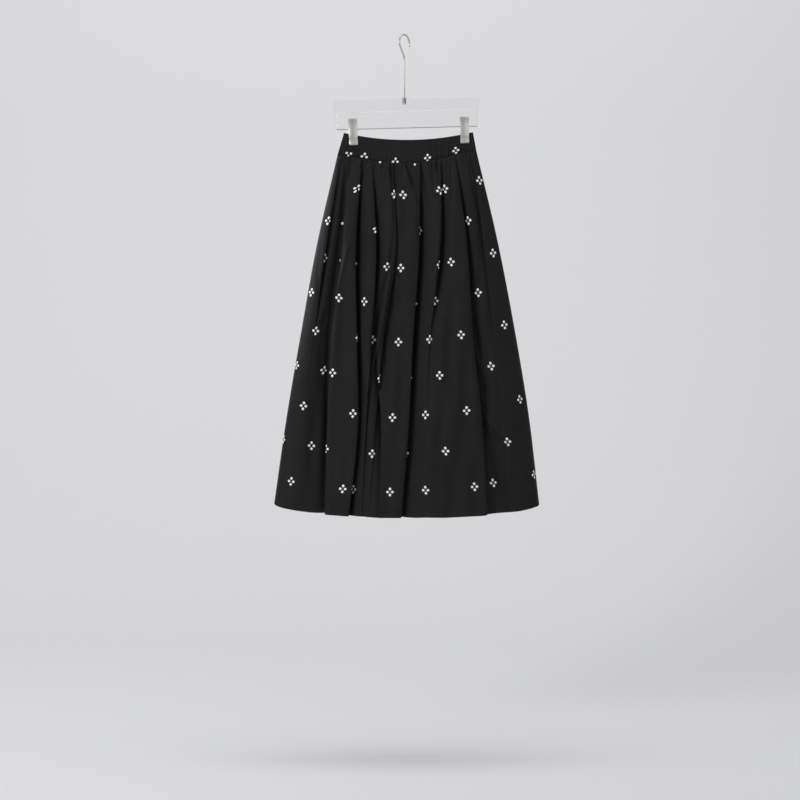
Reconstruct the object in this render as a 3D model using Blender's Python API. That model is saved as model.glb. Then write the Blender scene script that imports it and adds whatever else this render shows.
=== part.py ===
"""An a-line skirt of gathered black cotton on an elastic waist, hung by two metal clips from a clear hanger.

Metres, +Z up, +X to the wearer's left as seen from the front, which faces -Y. The origin is the underside of the
hook's crown, where the hanger rests on a rail. Each cloth piece is one closed wall, drawn through level
cross-sections that a table of folds shapes.
"""
import math

import bmesh
import bpy
from mathutils import Matrix, Vector

MM = 0.001
SEAM_GAP = 0.3 * MM            # air between two pieces that are sewn or pressed together

# Cloth, all along its own levels: a level is 0 at the waist seam and 1 at the hem.
PANEL_WALL = 1.5 * MM          # gathered cotton with its seam allowances
BAND_WALL = 3.0 * MM           # two layers of cotton over an elastic
STATIONS = (0.0, 0.25, 0.5, 0.75, 1.0)
LEFT_EDGE = (-146.5, -193.8, -226.2, -255.9, -283.4)     # x of the left side seam at the stations, mm
RIGHT_EDGE = (157.7, 205.7, 241.3, 272.1, 295.2)         # x of the right side seam, mm
PANEL_LEVELS = (0.0, 0.04, 0.10, 0.18, 0.27, 0.38, 0.50, 0.62, 0.74, 0.87, 1.0)
WAIST_HALF_DEPTH = 12 * MM     # from the middle plane to the cloth, at the seam
HEM_HALF_DEPTH = 81 * MM
DEPTH_POWER = 0.62             # below 1: the gathers puff out close under the band
SIDE_ROUNDNESS = 3.0           # power of the plan outline; 2 would be an ellipse
SEAM_Z = (-260 * MM, -250 * MM)          # waist seam at the left and the right side
SEAM_SAG = 22 * MM                       # and how much lower it is in the middle
SEAM_SAG_POWER = 1.6
HEM_Z = (-1024 * MM, -1026 * MM)
HEM_SAG = 22 * MM
HEM_SAG_POWER = 0.6
TROUGH_CLEARANCE = (6 * MM, 22 * MM)     # least distance of a fold's floor from the middle plane, seam and hem

# Folds, left to right: x and depth at the five stations, in mm; half width at seam and hem, in mm; and how far the
# cloth to the right of the fold stands in front of the cloth to its left at the hem, in mm.
FRONT_FOLDS = (
    ((-127, -142, -169, -189, -190), (7, 30, 46, 46, 40), (5, 13), 7),
    ((-102, -105, -97, -102, -108), (7, 33, 31, 36, 38), (4, 8), 2),
    ((-56, -58, -78, -90, -95), (7, 21, 8, 0, 0), (4, 5), 0),
    ((-10, -23, -58, -78, -82), (7, 34, 30, 10, 0), (4, 5), 3),
    ((10, -3, -42, -55, -56), (7, 3, 10, 20, 16), (4, 9), 0),
    ((37, 36, 26, 11, -1), (7, 22, 27, 28, 26), (5, 12), 0),
    ((59, 54, 40, 28, 17), (7, 5, 0, 0, 0), (4, 8), 0),
    ((83, 74, 54, 46, 37), (7, 32, 20, 7, 0), (4, 9), -2),
    ((118, 142, 150, 172, 184), (7, 36, 42, 42, 32), (5, 10), -9),
    ((146, 177, 204, 224, 237), (6, 17, 10, 6, 5), (4, 12), 0),
)
BACK_FOLDS = (
    ((-124, -158, -182, -206, -222), (6, 20, 24, 20, 16), (4, 12), 3),
    ((-98, -118, -128, -142, -150), (7, 34, 42, 44, 38), (5, 11), 4),
    ((-60, -72, -76, -80, -76), (7, 28, 22, 14, 12), (4, 9), 0),
    ((-28, -30, -24, -30, -34), (7, 32, 40, 42, 36), (5, 11), -3),
    ((8, 6, 14, 12, 8), (7, 12, 4, 2, 0), (4, 9), 0),
    ((40, 44, 50, 58, 64), (7, 30, 38, 40, 36), (5, 11), 3),
    ((76, 84, 92, 104, 108), (7, 24, 12, 8, 10), (4, 9), 0),
    ((108, 126, 148, 164, 176), (7, 34, 42, 42, 34), (5, 12), -5),
    ((140, 172, 196, 216, 230), (6, 18, 14, 12, 10), (4, 11), 0),
)
FOLD_POINTS = (-1.3, -0.8, -0.3, 0.3, 0.8, 1.3)    # across a fold, in half widths
FOLD_SPREAD = 1.3                                  # so a fold's points reach this many half widths
FOLD_POWER = 3.0                                   # flat floor, steep sides
FOLD_ROOM = 0.42                                   # share of the way to the next fold that a fold may take up
STEP_SHARPNESS = 2.5
SIDE_COLUMNS = (0.06, 0.3)                         # shares of the way from a side seam to the nearest fold
MITRE_LIMITS = (0.2, 1.6)                          # least cosine and greatest stretch where the inner face turns

# Elastic waistband, in mm across and metres up.
BAND_TOP_X = (-131.8, 149.9)
BAND_TOP_Z = (-211 * MM, -209 * MM)
BAND_TOP_SAG = 16.5 * MM
BAND_FACE = 4.5 * MM                               # outer face from the middle plane, where the clips press
BAND_BOW = 6.5 * MM                                # and how much further out it is midway
BAND_BOW_SPAN = (0.13, 0.87)                       # shares of the width between which it bows, inside the clips
BAND_BOW_AT_TOP = 0.6                              # share of the bow at the band's top edge
BAND_ROUNDNESS = 10.0
BAND_COLUMNS = 34
BAND_LEVELS = (0.0, 0.3, 0.65, 1.0)
BAND_PUCKER = 0.5 * MM
BAND_PUCKERS = 8

# Clear hanger: a thick rail over a thin blade, one moulding, hanging a little low on the left.
HANGER_X = 3.8 * MM
HANGER_TOP_Z = -136.5 * MM
HANGER_ROLL = math.radians(1.5)
RAIL = (323 * MM, 12 * MM, 27.5 * MM)
BLADE = (309 * MM, 6 * MM, 37 * MM)
RAIL_EDGE = 2.5 * MM
BLADE_EDGE = 0.9 * MM
BLADE_OVERLAP = 2.5 * MM                           # how far the blade runs up inside the rail
WINDOW = (25 * MM, 10.5 * MM)                      # opening in the blade; a clip's sprung pin sits on its sill
WINDOW_EDGE = 1.5 * MM
BORE_RADIUS = 3.8 * MM
BORE_DEPTH = 13 * MM

# Wire hook, in its own upright plane, which is turned from the hanger's.
WIRE_RADIUS = 1.75 * MM
HOOK_INNER_RADIUS = 16 * MM
HOOK_YAW = math.radians(52)
HOOK_TIP_ANGLE = math.radians(-25)
HOOK_LEAVE_ANGLE = math.radians(215)
HOOK_BEND_RADIUS = 20 * MM
WIRE_SIDES = 12
HOOK_STEPS = (30, 6, 4)                            # segments of the crown, the bend and the shank
FERRULE_RADIUS = 3.5 * MM
FERRULE_FLANGE = (4.8 * MM, 1.2 * MM)
FERRULE_LENGTH = 11 * MM
FERRULE_FLOOR = 2.5 * MM
FERRULE_SIDES = 24

# Spring clips: two plates on a pin, pressed shut on the waistband.
CLIP_PINS = {"left": ((-113.0 * MM, -187.4 * MM), math.radians(2.6)),
             "right": ((131.2 * MM, -183.0 * MM), math.radians(1.1))}
CLIP_WIDTH = 19 * MM
CLIP_WALL = 1.0 * MM
# Height from the pin and distance of the plate's inner face from the middle plane, mm, from top to lip.
CLIP_PROFILE = (
    (7.0, 5.2), (3.0, 4.4), (-8.0, 3.7), (-17.0, 3.7), (-24.0, 4.8), (-46.0, 4.8), (-49.5, 5.3), (-51.0, 6.3),
)
EAR_WALL = 1.0 * MM
EAR_HEIGHT = 5.6 * MM
EAR_PAST_PIN = 2.6 * MM
PIN_RADIUS = 1.2 * MM
PIN_HALF_LENGTH = 10.6 * MM
SPRING_RADIUS = 3.1 * MM
SPRING_HALF_LENGTH = 6.2 * MM
ROD_SIDES = 20


def material(name, colour, roughness, metallic=0.0, transmission=0.0):
    """A Principled material of one finish."""
    finish = bpy.data.materials.new(name)
    finish.use_nodes = True
    shader = finish.node_tree.nodes["Principled BSDF"]
    shader.inputs["Base Color"].default_value = (*colour, 1.0)
    shader.inputs["Roughness"].default_value = roughness
    shader.inputs["Metallic"].default_value = metallic
    shader.inputs["Transmission Weight"].default_value = transmission
    return finish


def new_object(name, mesh, finish):
    """Puts a mesh in the scene under its part's name, with its material."""
    part = bpy.data.objects.new(name, mesh)
    bpy.context.scene.collection.objects.link(part)
    part.data.materials.clear()
    part.data.materials.append(finish)
    return part


def along(stations, values, level):
    """Smooth value at a level, through values at evenly spaced stations (Catmull-Rom)."""
    place = min(max(level / (stations[1] - stations[0]), 0.0), len(values) - 1.0)
    left = min(int(place), len(values) - 2)
    t = place - left
    p1, p2 = values[left], values[left + 1]
    p0 = values[left - 1] if left > 0 else 2 * p1 - p2
    p3 = values[left + 2] if left + 2 < len(values) else 2 * p2 - p1
    return p1 + 0.5 * t * (p2 - p0 + t * (2 * p0 - 5 * p1 + 4 * p2 - p3 + t * (3 * (p1 - p2) + p3 - p0)))


def mix(pair, share):
    return pair[0] + (pair[1] - pair[0]) * share


def folds_at(table, level):
    """The folds as they are at one level, in metres."""
    rows = []
    for x, depth, half_width, step in table:
        rows.append({
            "x": along(STATIONS, x, level) * MM,
            "depth": max(along(STATIONS, depth, level), 0.0) * MM,
            "half_width": mix(half_width, level) * MM,
            "step": step * level * MM,
        })
    return rows


def column_places(folds, left, right):
    """x of the mesh columns at one level: six across each fold, one on each ridge, and a few round the sides."""
    marks = [left] + [fold["x"] for fold in folds] + [right]
    places = [left] + [left + share * (marks[1] - left) for share in SIDE_COLUMNS]
    for number, fold in enumerate(folds):
        room = min(fold["x"] - marks[number], marks[number + 2] - fold["x"])
        reach = min(fold["half_width"], FOLD_ROOM * room / FOLD_SPREAD)
        places += [fold["x"] + reach * point for point in FOLD_POINTS]
        if number < len(folds) - 1:
            places.append(0.5 * (fold["x"] + folds[number + 1]["x"]))
    return places + [right - share * (right - marks[-2]) for share in reversed(SIDE_COLUMNS)] + [right]


def cloth_distance(x, level, folds, left, right):
    """How far the cloth's outer face is from the middle plane, at one place."""
    across = (x - left) / (right - left)
    half_depth = WAIST_HALF_DEPTH + (HEM_HALF_DEPTH - WAIST_HALF_DEPTH) * level ** DEPTH_POWER
    lens = max(1.0 - abs(2 * across - 1) ** SIDE_ROUNDNESS, 0.0) ** 0.5
    distance = half_depth * lens
    floor = mix(TROUGH_CLEARANCE, level)
    limit = max(half_depth * lens - floor, 0.0)
    for fold in folds:
        gap = min([abs(fold["x"] - other["x"]) for other in folds if other is not fold])
        reach = min(fold["half_width"], FOLD_ROOM * gap / FOLD_SPREAD)
        t = (x - fold["x"]) / reach
        distance += fold["step"] * lens / (1.0 + math.exp(-STEP_SHARPNESS * t))
        distance -= min(fold["depth"], limit) * math.exp(-abs(t) ** FOLD_POWER)
    return max(distance, min(floor, half_depth * lens))


def seam_height(across):
    return mix(SEAM_Z, across) - SEAM_SAG * (4 * across * (1 - across)) ** SEAM_SAG_POWER


def hem_height(across):
    return mix(HEM_Z, across) - HEM_SAG * (4 * across * (1 - across)) ** HEM_SAG_POWER


def band_top_height(across):
    return mix(BAND_TOP_Z, across) - BAND_TOP_SAG * 4 * across * (1 - across)


def panel_section(table, level):
    """One level of a panel: points of its outer face, as x, distance from the middle plane, and z."""
    folds = folds_at(table, level)
    left = along(STATIONS, LEFT_EDGE, level) * MM
    right = along(STATIONS, RIGHT_EDGE, level) * MM
    points = []
    for x in column_places(folds, left, right):
        across = (x - left) / (right - left)
        z = mix((seam_height(across) - SEAM_GAP / 2, hem_height(across)), level)
        distance = cloth_distance(x, level, folds, left, right)
        points.append((x, max(distance, SEAM_GAP / 2), z))
    return points


def band_section(level):
    """One level of the waistband, from its top edge at 0 to the seam at 1."""
    left = mix((BAND_TOP_X[0], LEFT_EDGE[0]), level) * MM
    right = mix((BAND_TOP_X[1], RIGHT_EDGE[0]), level) * MM
    points = []
    for number in range(BAND_COLUMNS + 1):
        across = 0.5 - 0.5 * math.cos(math.pi * number / BAND_COLUMNS)
        x = left + (right - left) * across
        lens = max(1.0 - abs(2 * across - 1) ** BAND_ROUNDNESS, 0.0) ** 0.5
        inside = (across - BAND_BOW_SPAN[0]) / (BAND_BOW_SPAN[1] - BAND_BOW_SPAN[0])
        bow = BAND_BOW * math.sin(math.pi * min(max(inside, 0.0), 1.0)) ** 2 * mix((BAND_BOW_AT_TOP, 1.0), level)
        pucker = BAND_PUCKER * level * math.cos(2 * math.pi * BAND_PUCKERS * across)
        distance = (BAND_FACE + bow + pucker) * lens
        z = mix((band_top_height(across), seam_height(across) + SEAM_GAP), level)
        points.append((x, max(distance, SEAM_GAP / 2), z))
    return points


def inner_face(section, wall):
    """The same section moved in by the wall, square to the cloth in plan; its ends stay on the side seam."""
    plan = [Vector((x, distance)) for x, distance, _ in section]
    moved = []
    last = len(plan) - 1
    for number, point in enumerate(plan):
        before = (point - plan[number - 1]).normalized() if number > 0 else Vector((0.0, 1.0))
        after = (plan[number + 1] - point).normalized() if number < last else Vector((0.0, -1.0))
        normals = [Vector((edge.y, -edge.x)) for edge in (before, after)]
        middle = (normals[0] + normals[1]).normalized()
        stretch = min(1.0 / max(middle.dot(normals[0]), MITRE_LIMITS[0]), MITRE_LIMITS[1])
        inside = point + middle * wall * stretch
        moved.append((inside.x, max(inside.y, SEAM_GAP / 2), section[number][2]))
    return moved


def wall_mesh(name, sections, wall, side):
    """A closed wall from level sections; side is -1 for the front of the skirt and 1 for the back."""
    outer = [[(x, side * distance, z) for x, distance, z in section] for section in sections]
    inner = [[(x, side * distance, z) for x, distance, z in inner_face(section, wall)] for section in sections]
    rows, columns = len(sections), len(sections[0])
    body = bmesh.new()
    grids = []
    for face in (outer, inner):
        grids.append([[body.verts.new(point) for point in row] for row in face])
    front, back = grids
    for r in range(rows - 1):
        for c in range(columns - 1):
            body.faces.new((front[r][c], front[r + 1][c], front[r + 1][c + 1], front[r][c + 1]))
            body.faces.new((back[r][c], back[r][c + 1], back[r + 1][c + 1], back[r + 1][c]))
    for c in range(columns - 1):
        body.faces.new((front[0][c], front[0][c + 1], back[0][c + 1], back[0][c]))
        body.faces.new((front[-1][c + 1], front[-1][c], back[-1][c], back[-1][c + 1]))
    for r in range(rows - 1):
        body.faces.new((front[r + 1][0], front[r][0], back[r][0], back[r + 1][0]))
        body.faces.new((front[r][-1], front[r + 1][-1], back[r + 1][-1], back[r][-1]))
    bmesh.ops.recalc_face_normals(body, faces=body.faces)
    mesh = bpy.data.meshes.new(name)
    body.to_mesh(mesh)
    body.free()
    mesh.shade_smooth()
    return mesh


def add_cloth(finish):
    """The four sewn pieces: front and back panel, front and back of the waistband."""
    for side, word, table in ((-1, "front", FRONT_FOLDS), (1, "back", BACK_FOLDS)):
        panel = [panel_section(table, level) for level in PANEL_LEVELS]
        name = "skirt_" + word
        new_object(name, wall_mesh(name, panel, PANEL_WALL, side), finish)
        band = [band_section(level) for level in BAND_LEVELS]
        name = "waistband_" + word
        new_object(name, wall_mesh(name, band, BAND_WALL, side), finish)


def block(name, size, centre, edge=0.0, segments=2):
    """A box with rounded edges, as a mesh object with no node of its own material yet."""
    body = bmesh.new()
    bmesh.ops.create_cube(body, size=1.0)
    bmesh.ops.scale(body, vec=size, verts=body.verts)
    if edge:
        bmesh.ops.bevel(body, geom=body.edges[:], offset=edge, segments=segments, profile=0.5, affect="EDGES")
    bmesh.ops.translate(body, vec=centre, verts=body.verts)
    mesh = bpy.data.meshes.new(name)
    body.to_mesh(mesh)
    body.free()
    made = bpy.data.objects.new(name, mesh)
    bpy.context.scene.collection.objects.link(made)
    return made


def rod(name, radius, length, centre=(0, 0, 0), upright=False):
    """A round bar along X, or along Z if it is upright."""
    turn = Matrix.Identity(4) if upright else Matrix.Rotation(math.pi / 2, 4, "Y")
    body = bmesh.new()
    bmesh.ops.create_cone(body, cap_ends=True, segments=ROD_SIDES, radius1=radius, radius2=radius, depth=length)
    bmesh.ops.transform(body, matrix=Matrix.Translation(centre) @ turn, verts=body.verts)
    mesh = bpy.data.meshes.new(name)
    body.to_mesh(mesh)
    body.free()
    made = bpy.data.objects.new(name, mesh)
    bpy.context.scene.collection.objects.link(made)
    return made


def combine(target, tool, operation):
    """Joins or cuts target with tool, and hides the tool."""
    change = target.modifiers.new(operation.lower(), "BOOLEAN")
    change.operation = operation
    change.solver = "EXACT"
    change.object = tool
    tool.hide_render = True
    tool.display_type = "WIRE"


def add_hanger_bar(finish):
    """Rail and blade as one moulding, with a bore for the hook and a window for each clip."""
    middle = Vector((HANGER_X, 0, HANGER_TOP_Z))
    roll = Matrix.Translation(middle) @ Matrix.Rotation(-HANGER_ROLL, 4, "Y")
    bar = block("hanger_bar", RAIL, (0, 0, -RAIL[2] / 2), RAIL_EDGE, 3)
    blade_size = (BLADE[0], BLADE[1], BLADE[2] + BLADE_OVERLAP)
    blade = block("blade_tool", blade_size, (0, 0, -RAIL[2] + BLADE_OVERLAP - blade_size[2] / 2), BLADE_EDGE)
    combine(bar, blade, "UNION")
    bar.matrix_world = roll
    blade.matrix_world = roll
    for word, ((x, z), _) in CLIP_PINS.items():
        place = roll.inverted() @ Vector((x, 0, z))
        sill = place.z - SPRING_RADIUS - 1.5 * SEAM_GAP
        centre = (place.x, 0, sill + WINDOW[1] / 2)
        window = block("window_" + word, (WINDOW[0], 3 * BLADE[1], WINDOW[1]), centre, WINDOW_EDGE)
        window.matrix_world = roll
        combine(bar, window, "DIFFERENCE")
    bore = rod("bore_tool", BORE_RADIUS, 2 * BORE_DEPTH, (0, 0, HANGER_TOP_Z), upright=True)
    combine(bar, bore, "DIFFERENCE")
    bar.data.materials.append(finish)


def hook_route():
    """Centre line of the hook from its tip over the crown and down the shank, as (along, up) in its plane."""
    radius = HOOK_INNER_RADIUS + WIRE_RADIUS
    centre_z = -HOOK_INNER_RADIUS
    crown_steps, bend_steps, shank_steps = HOOK_STEPS
    route = []
    for number in range(crown_steps + 1):
        angle = mix((HOOK_TIP_ANGLE, HOOK_LEAVE_ANGLE), number / crown_steps)
        route.append((radius * math.cos(angle), centre_z + radius * math.sin(angle)))
    leave = route[-1]
    heading = (-math.sin(HOOK_LEAVE_ANGLE), math.cos(HOOK_LEAVE_ANGLE))
    turn = math.acos(-heading[1])
    to_corner = -leave[0] / heading[0]
    corner_z = leave[1] + heading[1] * to_corner
    tangent = HOOK_BEND_RADIUS * math.tan(turn / 2)
    bend_centre = (-HOOK_BEND_RADIUS, corner_z - tangent)
    for number in range(bend_steps + 1):
        angle = turn * (1 - number / bend_steps)
        route.append((bend_centre[0] + HOOK_BEND_RADIUS * math.cos(angle),
                      bend_centre[1] + HOOK_BEND_RADIUS * math.sin(angle)))
    shank_end = HANGER_TOP_Z - FERRULE_LENGTH + FERRULE_FLOOR + SEAM_GAP
    for number in range(1, shank_steps + 1):
        route.append((0.0, mix((bend_centre[1], shank_end), number / shank_steps)))
    return route


def add_hook(finish):
    """The wire hook: a bevelled curve along the route, its plane turned about the shank."""
    curve = bpy.data.curves.new("hook_wire", "CURVE")
    curve.dimensions = "3D"
    curve.bevel_depth = WIRE_RADIUS
    curve.bevel_resolution = WIRE_SIDES // 4 - 1
    curve.use_fill_caps = True
    spline = curve.splines.new("POLY")
    route = hook_route()
    spline.points.add(len(route) - 1)
    for point, (reach, up) in zip(spline.points, route):
        point.co = (reach * math.cos(HOOK_YAW), reach * math.sin(HOOK_YAW), up, 1.0)
    new_object("hook_wire", curve, finish)


def add_ferrule(finish):
    """The turned insert in the hanger's top that the shank is pressed into: a flanged cup."""
    hole = WIRE_RADIUS + SEAM_GAP
    flange_radius, flange_height = FERRULE_FLANGE
    top, floor = SEAM_GAP + flange_height, FERRULE_FLOOR - FERRULE_LENGTH
    profile = (
        (0.0, -FERRULE_LENGTH), (FERRULE_RADIUS, -FERRULE_LENGTH), (FERRULE_RADIUS, SEAM_GAP),
        (flange_radius, SEAM_GAP), (flange_radius, top), (hole, top), (hole, floor), (0.0, floor),
    )
    body = bmesh.new()
    rings = []
    for radius, z in profile:
        if radius == 0.0:
            rings.append([body.verts.new((0, 0, z))])
            continue
        turns = [2 * math.pi * number / FERRULE_SIDES for number in range(FERRULE_SIDES)]
        rings.append([body.verts.new((radius * math.cos(turn), radius * math.sin(turn), z)) for turn in turns])
    for lower, upper in zip(rings, rings[1:]):
        for number in range(FERRULE_SIDES):
            after = (number + 1) % FERRULE_SIDES
            ring = [lower[number % len(lower)], lower[after % len(lower)], upper[after % len(upper)],
                    upper[number % len(upper)]]
            body.faces.new(list(dict.fromkeys(ring)))
    bmesh.ops.recalc_face_normals(body, faces=body.faces)
    bmesh.ops.translate(body, vec=(0, 0, HANGER_TOP_Z), verts=body.verts)
    mesh = bpy.data.meshes.new("hook_ferrule")
    body.to_mesh(mesh)
    body.free()
    mesh.shade_smooth()
    mesh.set_sharp_from_angle(angle=math.radians(40))
    new_object("hook_ferrule", mesh, finish)


def clip_plate(name, side, ear_inner):
    """One plate of a clip about its pin: a bent strip with two ears for the pin."""
    body = bmesh.new()
    half = CLIP_WIDTH / 2
    rings = []
    for height, face in CLIP_PROFILE:
        near = side * face * MM
        far = side * (face * MM + CLIP_WALL)
        corners = ((-half, near), (half, near), (half, far), (-half, far))
        rings.append([body.verts.new((x, y, height * MM)) for x, y in corners])
    for upper, lower in zip(rings, rings[1:]):
        for number in range(4):
            after = (number + 1) % 4
            body.faces.new((upper[number], upper[after], lower[after], lower[number]))
    body.faces.new(rings[0])
    body.faces.new(rings[-1])
    bmesh.ops.recalc_face_normals(body, faces=body.faces)
    mesh = bpy.data.meshes.new(name)
    body.to_mesh(mesh)
    body.free()
    plate = bpy.data.objects.new(name, mesh)
    bpy.context.scene.collection.objects.link(plate)
    tools = []
    for hand in (-1, 1):
        root = CLIP_PROFILE[1][1] * MM + CLIP_WALL / 2
        depth = root + EAR_PAST_PIN
        centre = (hand * (ear_inner + EAR_WALL / 2), side * (root - depth / 2), 0)
        ear = block(name + "_ear", (EAR_WALL, depth, EAR_HEIGHT), centre)
        combine(plate, ear, "UNION")
        tools.append(ear)
    hole = rod(name + "_hole", PIN_RADIUS + SEAM_GAP, 2 * CLIP_WIDTH)
    combine(plate, hole, "DIFFERENCE")
    return plate, tools + [hole]


def spring_sleeve(name):
    """The coil spring's outer shape: a tube around the pin."""
    sleeve = rod(name, SPRING_RADIUS, 2 * SPRING_HALF_LENGTH)
    core = rod(name + "_core", PIN_RADIUS + SEAM_GAP, 3 * SPRING_HALF_LENGTH)
    combine(sleeve, core, "DIFFERENCE")
    return sleeve, [core]


def add_clip(word, finish):
    """Front and back plate, pin and spring, placed by an empty on the pin's middle."""
    (x, z), tilt = CLIP_PINS[word]
    pivot = bpy.data.objects.new("clip_" + word + "_pivot", None)
    bpy.context.scene.collection.objects.link(pivot)
    pivot.location = (x, 0, z)
    pivot.rotation_euler = (0, -tilt, 0)
    outer_ear = CLIP_WIDTH / 2 - EAR_WALL
    inner_ear = outer_ear - EAR_WALL - SEAM_GAP
    made = [clip_plate("clip_" + word + "_front", -1, outer_ear),
            clip_plate("clip_" + word + "_back", 1, inner_ear),
            (rod("clip_" + word + "_pin", PIN_RADIUS, 2 * PIN_HALF_LENGTH), []),
            spring_sleeve("clip_" + word + "_spring")]
    for part, tools in made:
        part.data.materials.append(finish)
        part.parent = pivot
        for tool in tools:
            tool.parent = pivot


def main():
    for old in list(bpy.data.objects):
        bpy.data.objects.remove(old, do_unlink=True)
    cotton = material("black_cotton", (0.012, 0.012, 0.013), 0.75)
    acrylic = material("clear_acrylic", (0.95, 0.96, 0.97), 0.03, transmission=1.0)
    nickel = material("nickel_steel", (0.72, 0.72, 0.73), 0.28, metallic=1.0)
    add_cloth(cotton)
    add_hanger_bar(acrylic)
    add_hook(nickel)
    add_ferrule(nickel)
    for word in CLIP_PINS:
        add_clip(word, nickel)


main()
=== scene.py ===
"""Looks of an a-line skirt of gathered black cotton with white embroidered flowers, hung by two metal clips
from a clear hanger. Metres, +Z up, front facing -Y, origin at the underside of the hook's crown."""
import math

import bmesh
import bpy
import numpy as np
from mathutils import Matrix, Vector


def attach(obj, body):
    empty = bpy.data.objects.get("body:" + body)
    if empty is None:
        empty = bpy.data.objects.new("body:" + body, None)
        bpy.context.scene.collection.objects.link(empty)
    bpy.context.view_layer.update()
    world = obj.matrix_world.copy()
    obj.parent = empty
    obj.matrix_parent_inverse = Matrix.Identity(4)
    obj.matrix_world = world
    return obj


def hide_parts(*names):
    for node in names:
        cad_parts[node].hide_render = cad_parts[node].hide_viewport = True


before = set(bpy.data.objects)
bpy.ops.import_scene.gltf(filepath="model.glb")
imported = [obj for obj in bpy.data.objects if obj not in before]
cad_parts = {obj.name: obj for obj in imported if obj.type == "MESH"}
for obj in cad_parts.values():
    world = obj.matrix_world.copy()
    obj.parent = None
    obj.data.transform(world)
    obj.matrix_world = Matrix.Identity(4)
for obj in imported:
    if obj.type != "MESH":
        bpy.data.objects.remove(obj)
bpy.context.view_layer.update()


# ------------------------------------------------------------
# The studio: a seamless sheet of pale paper, lit by a large soft box on the left and weaker light from all
# round, seen from 4 m away. The skirt hangs above the floor as it does from a rail 1.6 m up.
# ------------------------------------------------------------
MM = 0.001
CAMERA_PLACE = Vector((-0.047, -4.0, -0.576))
CAMERA_TARGET = Vector((-0.0095, 0.0, -0.7957))
CAMERA_LENS = 81.8
FLOOR_Z = -1.605
SWEEP_SIDE = 9.0
SWEEP_FRONT_Y = -10.0
SWEEP_BACK_Y = 3.2
SWEEP_HEIGHT = 7.0
SWEEP_RADIUS = 1.8


def linear(hex_colour):
    """Linear RGBA of an sRGB hex colour."""
    channels = [int(hex_colour[i:i + 2], 16) / 255 for i in (0, 2, 4)]
    return [c / 12.92 if c <= 0.04045 else ((c + 0.055) / 1.055) ** 2.4 for c in channels] + [1.0]


def new_material(name, **sockets):
    """A node material, its tree and its shader, with constants set on the shader's own sockets."""
    made = bpy.data.materials.new(name)
    made.use_nodes = True
    shader = made.node_tree.nodes["Principled BSDF"]
    for socket, value in sockets.items():
        shader.inputs[socket.replace("_", " ")].default_value = value
    return made, made.node_tree, shader


def add_node(tree, kind, settings=None, values=None, links=None):
    """Adds one shader node: settings are its properties, values its inputs, links its inputs' sources."""
    node = tree.nodes.new(kind)
    for name, value in (settings or {}).items():
        setattr(node, name, value)
    for name, value in (values or {}).items():
        node.inputs[name].default_value = value
    for name, source in (links or {}).items():
        tree.links.new(source, node.inputs[name])
    return node


def put_in_scene(name, data):
    made = bpy.data.objects.new(name, data)
    bpy.context.scene.collection.objects.link(made)
    return made


def deselect():
    for obj in bpy.context.selected_objects:
        obj.select_set(False)


def edit_select(obj, wanted):
    """Selects, in edit mode, the faces or edges that the test wanted(element) accepts, and nothing else."""
    shape = bmesh.from_edit_mesh(obj.data)
    for group in (shape.verts, shape.edges, shape.faces):
        for element in group:
            element.select = False
    kind = shape.faces if bpy.context.tool_settings.mesh_select_mode[2] else shape.edges
    for element in kind:
        if wanted(element):
            element.select_set(True)
    bmesh.update_edit_mesh(obj.data)


def extrude(move):
    """Draws the selected edges or faces out by a move, in edit mode."""
    bpy.ops.mesh.extrude_region_move(TRANSFORM_OT_translate={"value": move})


def leave_edit():
    bpy.ops.object.mode_set(mode="OBJECT")


def look_at(obj, target):
    obj.rotation_euler = (target - obj.location).to_track_quat("-Z", "Y").to_euler()


deselect()
camera_data = bpy.data.cameras.new("camera")
camera_data.lens = CAMERA_LENS
camera_data.sensor_width = 36.0
camera_data.clip_end = 60.0
camera = put_in_scene("camera", camera_data)
camera.location = CAMERA_PLACE
look_at(camera, CAMERA_TARGET)
bpy.context.scene.camera = camera
bpy.context.scene.view_settings.view_transform = "Standard"

bpy.ops.mesh.primitive_plane_add(size=1.0)
sweep = bpy.context.object
sweep.name = "paper_sweep"
bpy.ops.object.mode_set(mode="EDIT")
bpy.ops.transform.resize(value=(2 * SWEEP_SIDE, SWEEP_BACK_Y - SWEEP_FRONT_Y, 1.0))
bpy.ops.transform.translate(value=(0, (SWEEP_BACK_Y + SWEEP_FRONT_Y) / 2, FLOOR_Z))
bpy.ops.mesh.select_mode(type="EDGE")
edit_select(sweep, lambda edge: all(v.co.y > SWEEP_BACK_Y - 0.1 for v in edge.verts))
extrude((0, 0, SWEEP_HEIGHT))
edit_select(sweep, lambda edge: all(v.co.y > SWEEP_BACK_Y - 0.1 and v.co.z < FLOOR_Z + 0.1
                                    for v in edge.verts))
bpy.ops.mesh.bevel(offset=SWEEP_RADIUS, segments=18, affect="EDGES")
leave_edit()
bpy.ops.object.shade_smooth()
paper, _, _ = new_material("matt_studio_paper", Base_Color=linear("E9E9EA"), Roughness=0.95,
                           Specular_IOR_Level=0.1)
sweep.data.materials.append(paper)

SOFT_BOXES = (
    # name, place, aimed at, width, height, watts, spread of the beam in degrees
    ("key_soft_box", (-2.5, -2.9, 0.7), (0.0, 0.0, -0.7), 1.2, 1.7, 66.0, 180),
    ("fill_soft_box", (1.6, -4.4, 0.6), (0.0, 0.0, -0.7), 2.4, 2.4, 12.0, 180),
    ("edge_soft_box", (-1.6, 0.62, 0.25), (-0.17, 0.0, -0.42), 0.3, 0.5, 0.9, 22),
    ("sweep_light", (0.0, -0.2, 3.0), (0.0, 3.2, 0.2), 4.0, 1.5, 60.0, 180),
)
for name, place, aim, width, height, watts, spread in SOFT_BOXES:
    data = bpy.data.lights.new(name, "AREA")
    data.shape = "RECTANGLE"
    data.size = width
    data.size_y = height
    data.energy = watts
    data.spread = math.radians(spread)
    box = put_in_scene(name, data)
    box.location = place
    look_at(box, Vector(aim))

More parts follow.
